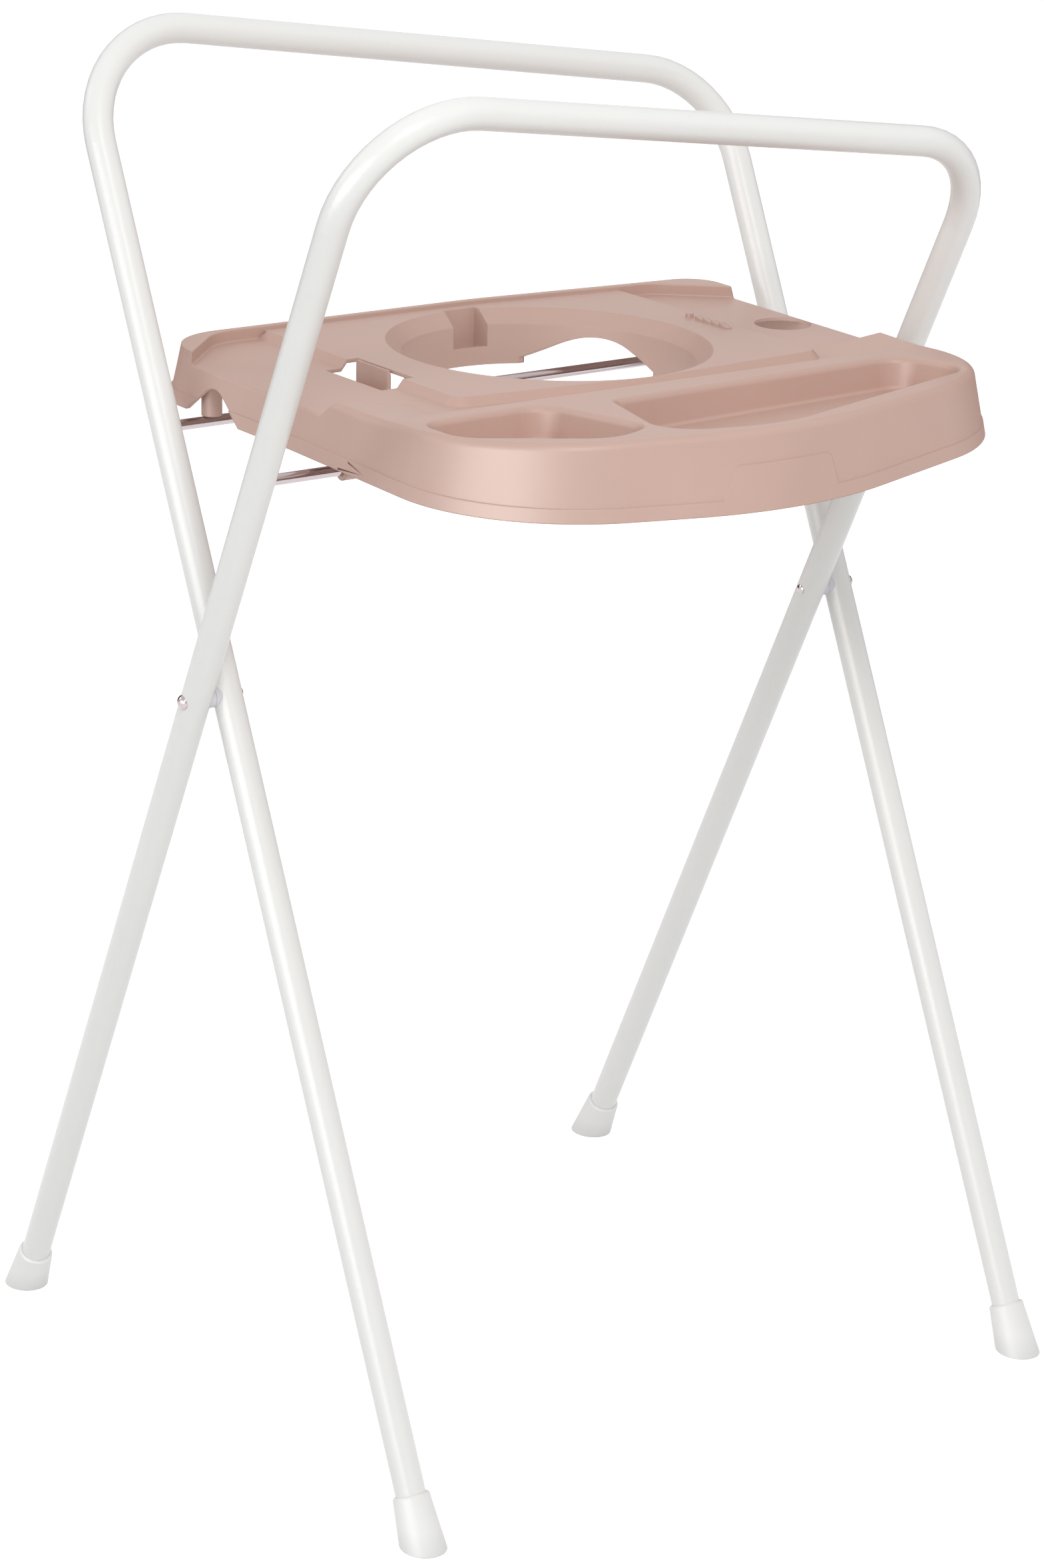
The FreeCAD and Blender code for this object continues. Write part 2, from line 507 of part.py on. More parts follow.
def make_rivet(hand):
    """The pivot pin of one side: domed head outside, rolled tail inside, dimpled at both ends."""
    body = new_body(hand + "_pivot_rivet")
    profile = new_sketch(body, hand + "RivetProfile", "XZ_Plane")
    reach = "(%s + Sizes.tube_diameter / 2 + Sizes.rivet_play)" % FRAME_OFFSET
    shank = "Sizes.rivet_diameter / 2"
    head, tail = "Sizes.rivet_head_diameter / 2", "Sizes.rivet_tail_diameter / 2"
    dimple = "Sizes.rivet_dimple_diameter / 2"
    corners = [
        ("%s + Sizes.rivet_head_height - Sizes.rivet_dimple_depth" % reach, "0 * 1", None),
        ("%s + Sizes.rivet_head_height" % reach, dimple, None),
        ("%s + Sizes.rivet_head_height" % reach, "%s + 1.0" % dimple, None),
        ("%s + Sizes.rivet_head_height * 0.8" % reach, "%s * 0.75" % head, None),
        ("%s + Sizes.rivet_head_height * 0.3" % reach, head, None),
        (reach, head, None),
        (reach, shank, None),
        ("-%s" % reach, shank, None),
        ("-%s" % reach, tail, None),
        ("-%s - Sizes.rivet_tail_height * 0.5" % reach, tail, None),
        ("-%s - Sizes.rivet_tail_height" % reach, "%s * 0.7" % tail, None),
        ("-%s - Sizes.rivet_tail_height" % reach, dimple, None),
        ("-%s - Sizes.rivet_tail_height + Sizes.rivet_dimple_depth" % reach, "0 * 1", None),
    ]
    draw_outline(profile, corners)
    pin = body.newObject("PartDesign::Revolution", hand + "RivetTurned")
    pin.Profile = profile
    pin.ReferenceAxis = (profile, ["H_Axis"])
    pin.Angle = 360
    profile.Visibility = False
    sign = "-" if hand == "left" else ""
    if hand == "left":
        body.Placement = FreeCAD.Placement(FreeCAD.Vector(), FreeCAD.Rotation(Z_AXIS, 180))
    place(body, x="%s%s" % (sign, HALF_SPACING), z="Sizes.pivot_height")
    return body


def make_saddle_washer(hand, frame_side):
    """A plastic washer with a hollow face against its own leg and a flat face to its partner."""
    body = new_body("%s_%s_saddle_washer" % (hand, frame_side))
    label = hand + frame_side.capitalize()
    blank = new_sketch(body, label + "Blank", "YZ_Plane", level="Sizes.washer_play / 2")
    draw_circle(blank, "rim", "0", "0", "Sizes.washer_diameter")
    pad(body, blank, "Sizes.leg_gap / 2 + Sizes.tube_diameter / 2")
    leg = new_sketch(body, label + "Leg", "XY_Plane", level="-2 * Sizes.washer_diameter")
    draw_circle(leg, "leg", FRAME_OFFSET, "0 * 1", "Sizes.tube_diameter")
    pocket(body, leg, "4 * Sizes.washer_diameter", upward=True)
    hole = new_sketch(body, label + "Hole", "YZ_Plane")
    draw_circle(hole, "hole", "0", "0", "Sizes.rivet_diameter + 2 * Sizes.fit_clearance")
    pocket(body, hole, "2 * Sizes.tube_diameter", both=True)
    _, lean = FRAMES[frame_side]
    outward = (hand == "left") == (frame_side == "front")
    points_left = hand == "left" if outward else hand == "right"
    if points_left:
        about_z = FreeCAD.Rotation(Z_AXIS, 180)
        lean_now = FreeCAD.Rotation(X_AXIS, value_of(lean))
        body.Placement = FreeCAD.Placement(FreeCAD.Vector(), lean_now.multiply(about_z))
        place(body, x="%s%s" % ("-" if hand == "left" else "", HALF_SPACING), z="Sizes.pivot_height")
    else:
        place(body, x="%s%s" % ("-" if hand == "left" else "", HALF_SPACING),
              z="Sizes.pivot_height", lean=lean)
    return body


# ---------------------------------------------------------------- the tray
TRAY_OUTLINE = [
    ("-Sizes.bow_offset", "-Sizes.bow_depth", "Sizes.bow_radius"),
    ("Sizes.front_right_reach", "-Sizes.front_right_depth", "Sizes.front_right_radius"),
    ("Sizes.tray_waist_right", "-Sizes.tray_waist_depth_right", "Sizes.waist_radius"),
    ("Sizes.tray_right", "Sizes.tray_back - Sizes.back_fall", "Sizes.back_right_radius"),
    ("Sizes.bow_offset", "Sizes.tray_back", "Sizes.waist_radius"),
    ("-Sizes.tray_left", "Sizes.tray_back", "Sizes.back_left_radius"),
    ("-Sizes.tray_waist_left", "-Sizes.tray_waist_depth", "Sizes.waist_radius"),
    ("-Sizes.front_left_reach", "-Sizes.front_left_depth", "Sizes.front_left_radius"),
]
RIM_FOOT = "Sizes.tray_back - Sizes.deck_height * tan(Sizes.tray_draft * 1deg) - Sizes.rim_width"


ROD_LEVEL = "(-Sizes.tray_over_rod)"
ROD_DEPTH = "(Sizes.rod_height * sin(Sizes.lean_angle * 1deg))"
TRAY_HEIGHT = "Sizes.pivot_height + Sizes.rod_height * cos(Sizes.lean_angle * 1deg) + Sizes.tray_over_rod"
PLATEAU_TOP = "(Sizes.deck_height + Sizes.plateau_rise)"

# The fall of the bowed front to either side of its crown, as a slope.
BOW_LEFT = "(Sizes.bow_depth - Sizes.front_left_depth) / (Sizes.front_left_reach - Sizes.bow_offset)"
BOW_RIGHT = "(Sizes.bow_depth - Sizes.front_right_depth) / (Sizes.front_right_reach + Sizes.bow_offset)"
LONG_FRONT = "-Sizes.bow_depth + Sizes.long_pocket_front_wall"
LONG_POCKET = [
    ("-Sizes.bow_offset - Sizes.long_pocket_left",
     "%s + Sizes.long_pocket_left * %s" % (LONG_FRONT, BOW_LEFT), "Sizes.pocket_front_corner"),
    ("-Sizes.bow_offset", LONG_FRONT, "Sizes.pocket_bow"),
    ("-Sizes.bow_offset + Sizes.long_pocket_right",
     "%s + Sizes.long_pocket_right * %s" % (LONG_FRONT, BOW_RIGHT), "Sizes.pocket_front_corner"),
    ("-Sizes.bow_offset + Sizes.long_pocket_right - Sizes.long_pocket_slant_right",
     "-Sizes.step_depth - Sizes.long_pocket_back_right", "Sizes.pocket_corner"),
    ("-Sizes.bow_offset - Sizes.long_pocket_left + Sizes.long_pocket_slant_left",
     "-Sizes.step_depth - Sizes.long_pocket_back_left", "Sizes.pocket_nose"),
]
SMALL_POCKET = [
    ("-Sizes.front_left_reach + Sizes.small_pocket_front",
     "-Sizes.front_left_depth", "Sizes.pocket_front_corner"),
    ("-Sizes.front_left_reach + Sizes.small_pocket_right",
     "-Sizes.front_left_depth + Sizes.small_pocket_right_back", "Sizes.pocket_corner"),
    ("-Sizes.front_left_reach + Sizes.small_pocket_right - Sizes.small_pocket_slant",
     "-Sizes.step_depth - Sizes.small_pocket_back_right", "Sizes.pocket_corner"),
    ("-Sizes.front_left_reach + Sizes.small_pocket_wall + Sizes.small_pocket_slant",
     "-Sizes.step_depth - Sizes.small_pocket_back_left", "Sizes.pocket_corner"),
    ("-Sizes.front_left_reach + Sizes.small_pocket_wall",
     "-Sizes.front_left_depth + Sizes.small_pocket_wall_back", "Sizes.pocket_front_corner"),
]


def make_tray():
    """The moulded top: a drafted shell with deck, back rim, plateau, opening and front block."""
    core = new_body("tray_core")
    draw_tray_form(core, "Core", wall="Sizes.tray_wall")
    tray = new_body("tray")
    draw_tray_form(tray, "Tray", wall=None)
    combine(tray, "Hollow", "Cut", core)
    add_collar_foot(tray)
    add_seat_posts(tray)
    add_hinge_jaws(tray)
    cut_rod_passages(tray)
    add_clip(tray)
    add_rack(tray)
    cut_slits(tray)
    place(tray, z=TRAY_HEIGHT)
    return tray


def combine(body, name, kind, other):
    """Fuse another body into this one, or cut it out."""
    feature = body.newObject("PartDesign::Boolean", name)
    feature.Type = kind
    feature.setObjects([other])
    doc.recompute()


def draw_tray_form(body, label, wall):
    """The solid form of the tray, or with wall the hollow inside it."""
    outline = new_sketch(body, label + "Outline")
    draw_outline(outline, TRAY_OUTLINE, inset=wall)
    blank = pad(body, outline, "Sizes.block_crown")
    draft_sides(body, blank, lambda point: True, (origin_plane(body, "XY_Plane"), [""]),
                "Sizes.tray_draft")
    cut_top_profile(body, label, wall)
    if not wall:
        round_form(body)
        combine(body, "WithLip", "Fuse", make_lip())
    cut_dish(body, label, wall)
    add_plateau(body, label, wall)
    cut_pockets(body, label, wall)
    cut_opening(body, label, wall)
    if not wall:
        drain = new_sketch(body, "Drain", level=PLATEAU_TOP)
        draw_circle(drain, "drain", "Sizes.drain_offset_x", "-Sizes.drain_offset_y",
                    "Sizes.drain_diameter")
        pocket(body, drain, PLATEAU_TOP)
        doc.recompute()


def draft_sides(body, feature, wanted, neutral, angle):
    """Lean the wanted upright faces by an angle, about the plane in which they keep their place."""
    doc.recompute()
    names = []
    for index, face in enumerate(feature.Shape.Faces, start=1):
        low_u, high_u, low_v, high_v = face.ParameterRange
        u, v = (low_u + high_u) / 2, (low_v + high_v) / 2
        if abs(face.normalAt(u, v).z) < SNAP and wanted(face.valueAt(u, v)):
            names.append("Face%d" % index)
    draft = body.newObject("PartDesign::Draft", feature.Name + "Draft")
    draft.Base = (feature, names)
    draft.NeutralPlane = neutral
    draft.setExpression("Angle", angle)
    doc.recompute()
    return draft


def level_face(feature, near):
    """Name of the feature's level face whose middle is nearest to a point."""
    distances = []
    for index, face in enumerate(feature.Shape.Faces, start=1):
        middle = face.CenterOfMass
        if isinstance(face.Surface, Part.Plane) and abs(middle.z - near.z) < SNAP:
            distances.append(((middle - near).Length, "Face%d" % index))
    return min(distances)[1]


def cut_top_profile(body, label, wall):
    """Cut the blank down to the tilted block, the step behind it, the deck and the back rim."""
    drop = " - (%s)" % wall if wall else ""
    profile = new_sketch(body, label + "Top", "YZ_Plane", turn="-Sizes.step_turn")
    far, high = "1.2 * Sizes.bow_depth", "2 * Sizes.block_crown"
    rise = "(%s - Sizes.block_flat) * tan(Sizes.block_tilt * 1deg)" % far
    block = "Sizes.block_height" + drop
    deck_level = "Sizes.deck_height" + drop
    back = deck_level if wall else "Sizes.rim_height"
    step_run = "(Sizes.block_height - Sizes.deck_height) * tan(Sizes.step_slope * 1deg)"
    corners = [
        ("-(%s)" % far, "%s + %s" % (block, rise), None),
        ("-Sizes.block_flat", block, "Sizes.block_blend"),
        ("-Sizes.step_depth - %s" % step_run, block, None),
        ("-Sizes.step_depth", deck_level, None),
        ("Sizes.step_depth / 4", deck_level, None),
        ("Sizes.step_depth / 4", back, None),
        (far, back, None),
        (far, high, None),
        ("-(%s)" % far, high, None),
    ]
    if wall:
        del corners[4:6]
    draw_outline(profile, corners)
    pocket(body, profile, "3 * Sizes.bow_depth", both=True)
    doc.recompute()

    if wall:
        return
    side = "1.2 * Sizes.tray_left"
    deck = new_sketch(body, label + "Deck", level="Sizes.deck_height")
    deck_corners = [
        ("-(%s)" % side, "-Sizes.step_depth / 2", None),
        (side, "-Sizes.step_depth / 2", None),
        (side, "-(%s)" % side + " + Sizes.rim_end_right + %s" % RIM_FOOT, None),
        ("Sizes.rim_end_right", "%s - Sizes.back_fall * 0.8" % RIM_FOOT, "Sizes.rim_turn_right"),
        ("Sizes.bow_offset", RIM_FOOT, "Sizes.waist_radius"),
        ("-Sizes.rim_end_left", RIM_FOOT, "Sizes.rim_turn_left"),
        ("-(%s)" % side, "-(%s)" % side + " + Sizes.rim_end_left + %s" % RIM_FOOT, None),
    ]
    draw_outline(deck, deck_corners)
    pocket(body, deck, "Sizes.block_crown / 2", upward=True)
    doc.recompute()


def tilt_at(face, point):
    """How far the face looks up at a point: 1 level, 0 upright."""
    return face.normalAt(*face.Surface.parameter(point)).z


def edges_between(feature, low, high, first, second):
    """Names of the edges from low to high whose two faces have the given tilts."""
    names = []
    for index, edge in enumerate(feature.Shape.Edges, start=1):
        middle = edge.valueAt((edge.FirstParameter + edge.LastParameter) / 2)
        faces = feature.Shape.ancestorsOfType(edge, Part.Face)
        if low - SNAP < middle.z < high + SNAP and len(faces) == 2:
            tilts = [tilt_at(face, middle) for face in faces]
            if any(abs(a - first) < SNAP and abs(b - second) < SNAP
                   for a, b in (tilts, reversed(tilts))):
                names.append("Edge%d" % index)
    return names


def fillet(body, name, base, edges, radius):
    feature = body.newObject("PartDesign::Fillet", name)
    feature.Base = (base, edges)
    feature.setExpression("Radius", radius)
    doc.recompute()


def round_form(body):
    """Round the outer edges of the block, the deck and the rim."""
    wall = math.sin(math.radians(value_of("Sizes.tray_draft")))
    block, crown = value_of("Sizes.block_height"), value_of("Sizes.block_crown")
    deck, rim = value_of("Sizes.deck_height"), value_of("Sizes.rim_height")
    rounds = [
        ("BlockEdge", block, crown, 1.0, wall, "Sizes.block_edge_radius"),
        ("DeckEdge", deck, deck, 1.0, wall, "Sizes.deck_edge_radius"),
        ("RimInside", rim, rim, 1.0, 0.0, "Sizes.rim_edge_radius"),
        ("RimFoot", deck, deck, 1.0, 0.0, "Sizes.rim_edge_radius"),
    ]
    for name, low, high, first, second, radius in rounds:
        base = body.Tip
        fillet(body, name, base, edges_between(base, low, high, first, second), radius)


def make_lip():
    """The lip that stands a little proud round the bottom and rises over the bare front panel."""
    lip = new_body("tray_lip")
    outline = new_sketch(lip, "Lip")
    draw_outline(outline, TRAY_OUTLINE, inset="-Sizes.lip_proud")
    blank = pad(lip, outline, "Sizes.block_height")
    draft_sides(lip, blank, lambda point: True, (origin_plane(lip, "XY_Plane"), [""]),
                "Sizes.tray_draft")
    top = new_sketch(lip, "LipTop", "XZ_Plane")
    side, high = "2 * Sizes.tray_left", "2 * Sizes.block_height"
    left, right = "-Sizes.bow_offset - Sizes.panel_left", "-Sizes.bow_offset + Sizes.panel_right"
    draw_outline(top, [
        ("-%s" % side, "Sizes.lip_height", None),
        (left, "Sizes.lip_height", None),
        ("%s + Sizes.panel_slant_left" % left, "Sizes.panel_height", "Sizes.panel_corner"),
        ("%s - Sizes.panel_slant_right" % right, "Sizes.panel_height", "Sizes.panel_corner"),
        (right, "Sizes.lip_height", None),
        (side, "Sizes.lip_height", None),
        (side, high, None),
        ("-%s" % side, high, None),
    ])
    pocket(lip, top, "3 * Sizes.bow_depth", both=True)
    behind = new_sketch(lip, "BehindPanel", level="Sizes.lip_height")
    deep = "2 * Sizes.bow_depth"
    front = "-Sizes.bow_depth + 2 * Sizes.block_height"
    draw_outline(behind, [
        ("-%s" % side, front, None),
        (side, front, None),
        (side, deep, None),
        ("-%s" % side, deep, None),
    ])
    pocket(lip, behind, "Sizes.block_height", upward=True)
    doc.recompute()
    return lip


def cut_dish(body, label, wall):
    """The shallow dish in the block's back, round the front of the plateau, with soft ramps."""
    drop = " - (%s)" % wall if wall else ""
    levels = ["Sizes.deck_height" + drop, "Sizes.block_height + Sizes.dish_over" + drop]
    stretch = "(1 + Sizes.dish_over / (Sizes.block_height - Sizes.deck_height))"
    front = "-Sizes.plateau_front - Sizes.plateau_run - Sizes.dish_gap"
    left = "-Sizes.tray_waist_left + Sizes.dish_edge + Sizes.dish_side"
    right = "Sizes.tray_waist_right - Sizes.dish_edge - Sizes.dish_side"
    back = "-Sizes.step_depth / 2"
    outlines = [
        rectangle(left, front, right, back),
        rectangle("%s - Sizes.dish_side * %s" % (left, stretch),
                  "%s - Sizes.dish_ramp * %s" % (front, stretch),
                  "%s + Sizes.dish_side * %s" % (right, stretch), back),
    ]
    sketches = []
    dish = body.newObject("PartDesign::SubtractiveLoft", label + "Dish")
    for place_name, level, outline in zip(("Floor", "Mouth"), levels, outlines):
        sketch = new_sketch(body, label + "Dish" + place_name, level=level)
        draw_outline(sketch, outline)
        sketches.append(sketch)
    dish.Profile = sketches[0]
    dish.Sections = sketches[1:]
    dish.Ruled = True
    doc.recompute()


def add_plateau(body, label, wall):
    """The raised plateau: a straight block under its top and a sloped lip round three sides."""
    drop = " - (%s)" % wall if wall else ""
    foot_fall = "Sizes.back_fall * 0.8 / (Sizes.rim_end_right - Sizes.bow_offset)"

    def outline(run, into_rim):
        right = "Sizes.plateau_right + %s" % run
        back_right = "%s - (%s - Sizes.bow_offset) * %s + %s" % (RIM_FOOT, right, foot_fall, into_rim)
        radius = "Sizes.plateau_radius + %s" % run
        return [
            ("-Sizes.plateau_left - %s" % run,
             "-Sizes.plateau_front + Sizes.plateau_fall_left - %s" % run, radius),
            ("Sizes.opening_offset_x", "-Sizes.plateau_front - %s" % run, "Sizes.waist_radius"),
            (right, "-Sizes.plateau_front + Sizes.plateau_fall_right - %s" % run, radius),
            (right, back_right, None),
            ("Sizes.bow_offset", "%s + %s" % (RIM_FOOT, into_rim), None),
            ("-Sizes.plateau_left - %s" % run, "%s + %s" % (RIM_FOOT, into_rim), None),
        ]
    level = "Sizes.deck_height" + drop
    slope = new_sketch(body, label + "PlateauSlope", level=level)
    draw_outline(slope, outline("Sizes.plateau_run", "0"))
    pad(body, slope, "Sizes.plateau_rise", taper="-atan(Sizes.plateau_run / Sizes.plateau_rise)")
    block = new_sketch(body, label + "Plateau", level=level)
    draw_outline(block, outline("0", "Sizes.rim_width / 3"))
    pad(body, block, "Sizes.plateau_rise")
    doc.recompute()


def cut_pockets(body, label, wall):
    """Two soap pockets in the block's top, their walls drafted from the floor up."""
    fall = "(Sizes.block_height - Sizes.pocket_floor) * tan(Sizes.pocket_taper * 1deg)"
    floor = "Sizes.pocket_floor" + (" - (%s)" % wall if wall else "")
    inset = fall + (" - (%s)" % wall if wall else "")
    for name, corners in (("LongPocket", LONG_POCKET), ("SmallPocket", SMALL_POCKET)):
        mouth = new_sketch(body, label + name, level="Sizes.block_crown")
        draw_outline(mouth, corners, inset=inset)
        hole = pocket(body, mouth, "Sizes.block_crown - (%s)" % floor)
        doc.recompute()
        area = mouth.Shape.BoundBox
        middle = FreeCAD.Vector(area.Center.x, area.Center.y, value_of(floor))
        area.enlarge(1.0)

        def is_wall(point, area=area):
            return area.XMin < point.x < area.XMax and area.YMin < point.y < area.YMax
        neutral = (hole, [level_face(hole, middle)])
        draft_sides(body, hole, is_wall, neutral, "Sizes.pocket_taper")
    if not wall:
        round_pockets(body)


def round_pockets(body):
    """Round the mouths of the pockets and the turns into their floors."""
    wall = math.sin(math.radians(value_of("Sizes.pocket_taper")))
    floor = value_of("Sizes.pocket_floor")
    low, high = value_of("Sizes.block_height"), value_of("Sizes.block_crown")
    rounds = [
        ("PocketMouths", low, high, "Sizes.pocket_edge_radius"),
        ("PocketFloors", floor, floor, "Sizes.pocket_floor_radius"),
    ]
    for name, lowest, highest, radius in rounds:
        base = body.Tip
        fillet(body, name, base, edges_between(base, lowest, highest, 1.0, wall), radius)


def opening_ellipse(body, name, level, run, grow):
    sketch = new_sketch(body, name, level=level)
    change = " - (%s) + (%s)" % (run, grow)
    draw_ellipse(sketch, "Sizes.opening_offset_x", "Sizes.opening_offset_y",
                 "Sizes.opening_half_width" + change, "Sizes.opening_half_depth" + change)
    return sketch


def cut_opening(body, label, wall):
    """The bath opening: a bevel, an upright collar and a channel at the back."""
    grow = wall or "0"
    bevel_foot = "%s - Sizes.opening_bevel_drop" % PLATEAU_TOP
    bevel = body.newObject("PartDesign::SubtractiveLoft", label + "Bevel")
    top = opening_ellipse(body, label + "BevelTop", PLATEAU_TOP, "0", grow)
    foot = opening_ellipse(body, label + "BevelFoot", bevel_foot, "Sizes.opening_bevel_run", grow)
    bevel.Profile = top
    bevel.Sections = [foot]
    bevel.Ruled = True
    throat = opening_ellipse(body, label + "Throat", bevel_foot, "Sizes.opening_bevel_run", grow)
    pocket(body, throat, PLATEAU_TOP)
    doc.recompute()
    channel = new_sketch(body, label + "Channel", level=PLATEAU_TOP)
    left, right = "Sizes.channel_left", "Sizes.channel_left + Sizes.channel_width"
    corners = [
        (left, "Sizes.channel_depth / 2", None),
        (right, "Sizes.channel_depth / 2", None),
        (right, "Sizes.channel_depth", None),
        (left, "Sizes.channel_depth", None),
    ]
    draw_outline(channel, corners, inset="-(%s)" % wall if wall else None)
    pocket(body, channel, PLATEAU_TOP)
    doc.recompute()


def add_collar_foot(tray):
    """The collar runs on a little below the skirt."""
    run = "Sizes.opening_bevel_run"
    foot = new_sketch(tray, "CollarFoot", level="-Sizes.collar_drop")
    for grow in ("Sizes.tray_wall", "0"):
        change = " - %s + %s" % (run, grow)
        x, y = value_of("Sizes.opening_offset_x"), value_of("Sizes.opening_offset_y")
        wide = value_of("Sizes.opening_half_width" + change)
        deep = value_of("Sizes.opening_half_depth" + change)
        top, side = FreeCAD.Vector(x, y + deep, 0), FreeCAD.Vector(x + wide, y, 0)
        foot.addGeometry(Part.Ellipse(top, side, FreeCAD.Vector(x, y, 0)), False)
    pad(tray, foot, "Sizes.collar_drop + Sizes.lip_height")
    doc.recompute()


def add_seat_posts(tray):
    """Posts under the deck that rest over the back rod."""
    level = "%s + Sizes.rod_diameter / 2 + Sizes.post_gap" % ROD_LEVEL
    posts = new_sketch(tray, "SeatPosts", level=level)
    for name, sign in (("left", "-"), ("right", "1 * ")):
        draw_circle(posts, name, sign + "Sizes.post_offset", ROD_DEPTH, "Sizes.post_diameter")
    pad(tray, posts, "Sizes.deck_height - Sizes.tray_wall / 2 - (%s)" % level)
    doc.recompute()


def add_hinge_jaws(tray):
    """Jaws that grip the front rod; the tray turns on it."""
    bore = "Sizes.rod_diameter + 2 * Sizes.fit_clearance"
    for hand, sign in (("Left", "-"), ("Right", "")):
        level = "%sSizes.jaw_offset - Sizes.jaw_width / 2" % sign
        tower = new_sketch(tray, hand + "JawTower", "YZ_Plane", level=level)
        half = "Sizes.jaw_diameter / 2"
        roof = "Sizes.deck_height - Sizes.tray_wall / 2"
        draw_outline(tower, [
            ("-%s - %s" % (ROD_DEPTH, half), ROD_LEVEL, None),
            ("-%s + %s" % (ROD_DEPTH, half), ROD_LEVEL, None),
            ("-%s + %s" % (ROD_DEPTH, half), roof, None),
            ("-%s - %s" % (ROD_DEPTH, half), roof, None),
        ])
        pad(tray, tower, "Sizes.jaw_width")
        ring = new_sketch(tray, hand + "JawRing", "YZ_Plane", level=level)
        draw_circle(ring, "ring", "-" + ROD_DEPTH, ROD_LEVEL, "Sizes.jaw_diameter")
        pad(tray, ring, "Sizes.jaw_width")
        hole = new_sketch(tray, hand + "JawBore", "YZ_Plane", level=level)
        draw_circle(hole, "bore", "-" + ROD_DEPTH, ROD_LEVEL, bore)
        pocket(tray, hole, "Sizes.jaw_width", upward=True)
        mouth = new_sketch(tray, hand + "JawMouth", "YZ_Plane", level=level)
        draw_outline(mouth, [
            ("-%s" % ROD_DEPTH, "%s - Sizes.jaw_mouth / 2" % ROD_LEVEL, None),
            ("-%s + Sizes.jaw_diameter" % ROD_DEPTH, "%s - Sizes.jaw_mouth / 2" % ROD_LEVEL, None),
            ("-%s + Sizes.jaw_diameter" % ROD_DEPTH, "%s + Sizes.jaw_mouth / 2" % ROD_LEVEL, None),
            ("-%s" % ROD_DEPTH, "%s + Sizes.jaw_mouth / 2" % ROD_LEVEL, None),
        ])
        pocket(tray, mouth, "Sizes.jaw_width", upward=True)
        doc.recompute()


def cut_rod_passages(tray):
    """An arch through the collar and a notch in each side wall, over the back rod."""
    low = "-2 * Sizes.collar_drop"

    def passage(name, level, length, kind):
        sketch = new_sketch(tray, name, "YZ_Plane", level=level)
        draw_outline(sketch, [
            ("%s - Sizes.%s_front" % (ROD_DEPTH, kind), low, None),
            ("%s + Sizes.%s_back" % (ROD_DEPTH, kind), low, None),
            ("%s + Sizes.%s_back" % (ROD_DEPTH, kind), "0 * 1", None),
            ("%s - Sizes.%s_peak" % (ROD_DEPTH, kind), "Sizes.%s_height" % kind,
             "Sizes.%s_radius" % kind),
            ("%s - Sizes.%s_front" % (ROD_DEPTH, kind), "0 * 1", None),
        ])
        pocket(tray, sketch, length)
        doc.recompute()
    reach = "Sizes.opening_half_width"
    passage("CollarArch", "Sizes.opening_offset_x + %s" % reach, "2 * %s" % reach, "arch")
    passage("LeftNotch", "-Sizes.tray_left + Sizes.notch_cut", "4 * Sizes.notch_cut", "notch")


def add_clip(tray):
    """A window in the plateau's left edge, with a springy tongue that hangs in it."""
    window = new_sketch(tray, "ClipWindow", level=PLATEAU_TOP)
    draw_outline(window, rectangle("-Sizes.window_left", "-Sizes.window_front",
                                   "-Sizes.window_right", "Sizes.window_back"))
    pocket(tray, window, "%s - Sizes.deck_height + 2 * Sizes.tray_wall" % PLATEAU_TOP)
    clip = new_sketch(tray, "Clip", "XZ_Plane", level="-Sizes.clip_back")
    outside = "-Sizes.window_left - Sizes.clip_wall"
    inside = "-Sizes.window_right - Sizes.clip_gap"
    under = "Sizes.deck_height - Sizes.tray_wall / 2"
    draw_outline(clip, [
        (outside, "Sizes.clip_foot", None),
        (inside, "Sizes.clip_foot", None),
        (inside, "%s - Sizes.clip_hook" % PLATEAU_TOP, None),
        ("%s - Sizes.clip_hook + Sizes.clip_wall" % inside, PLATEAU_TOP, None),
        ("%s - Sizes.clip_wall" % inside, PLATEAU_TOP, None),
        ("%s - Sizes.clip_wall" % inside, "Sizes.clip_foot + Sizes.clip_wall", None),
        ("-Sizes.window_left", "Sizes.clip_foot + Sizes.clip_wall", None),
        ("-Sizes.window_left", under, None),
        (outside, under, None),
    ])
    pad(tray, clip, "Sizes.clip_back + Sizes.clip_front")
    doc.recompute()


def add_rack(tray):
    """A short rack of four slanting teeth on the plateau, with a round boss behind it."""
    rack = new_sketch(tray, "Rack", "YZ_Plane", level="Sizes.rack_left")
    base = "%s - Sizes.tray_wall / 2" % PLATEAU_TOP
    teeth = 4
    corners = [("-Sizes.rack_front", base, None)]
    corners.append(("-Sizes.rack_front + %d * Sizes.rack_pitch" % teeth, base, None))
    for tooth in range(teeth, 0, -1):
        place_back = "-Sizes.rack_front + %d * Sizes.rack_pitch" % tooth
        place_front = "-Sizes.rack_front + %d * Sizes.rack_pitch" % (tooth - 1)
        corners.append((place_back, "%s + Sizes.rack_height" % PLATEAU_TOP, None))
        corners.append((place_front, "%s + Sizes.rack_height / 4" % PLATEAU_TOP, None))
    draw_outline(rack, corners)
    pad(tray, rack, "Sizes.rack_width")
    boss = new_sketch(tray, "RackBoss", level=base)
    draw_circle(boss, "boss", "Sizes.rack_left + Sizes.rack_width / 2",
                "-Sizes.rack_front + %g * Sizes.rack_pitch" % (teeth + 1), "Sizes.rack_boss")
    pad(tray, boss, "Sizes.rack_height + Sizes.tray_wall / 2")
    doc.recompute()


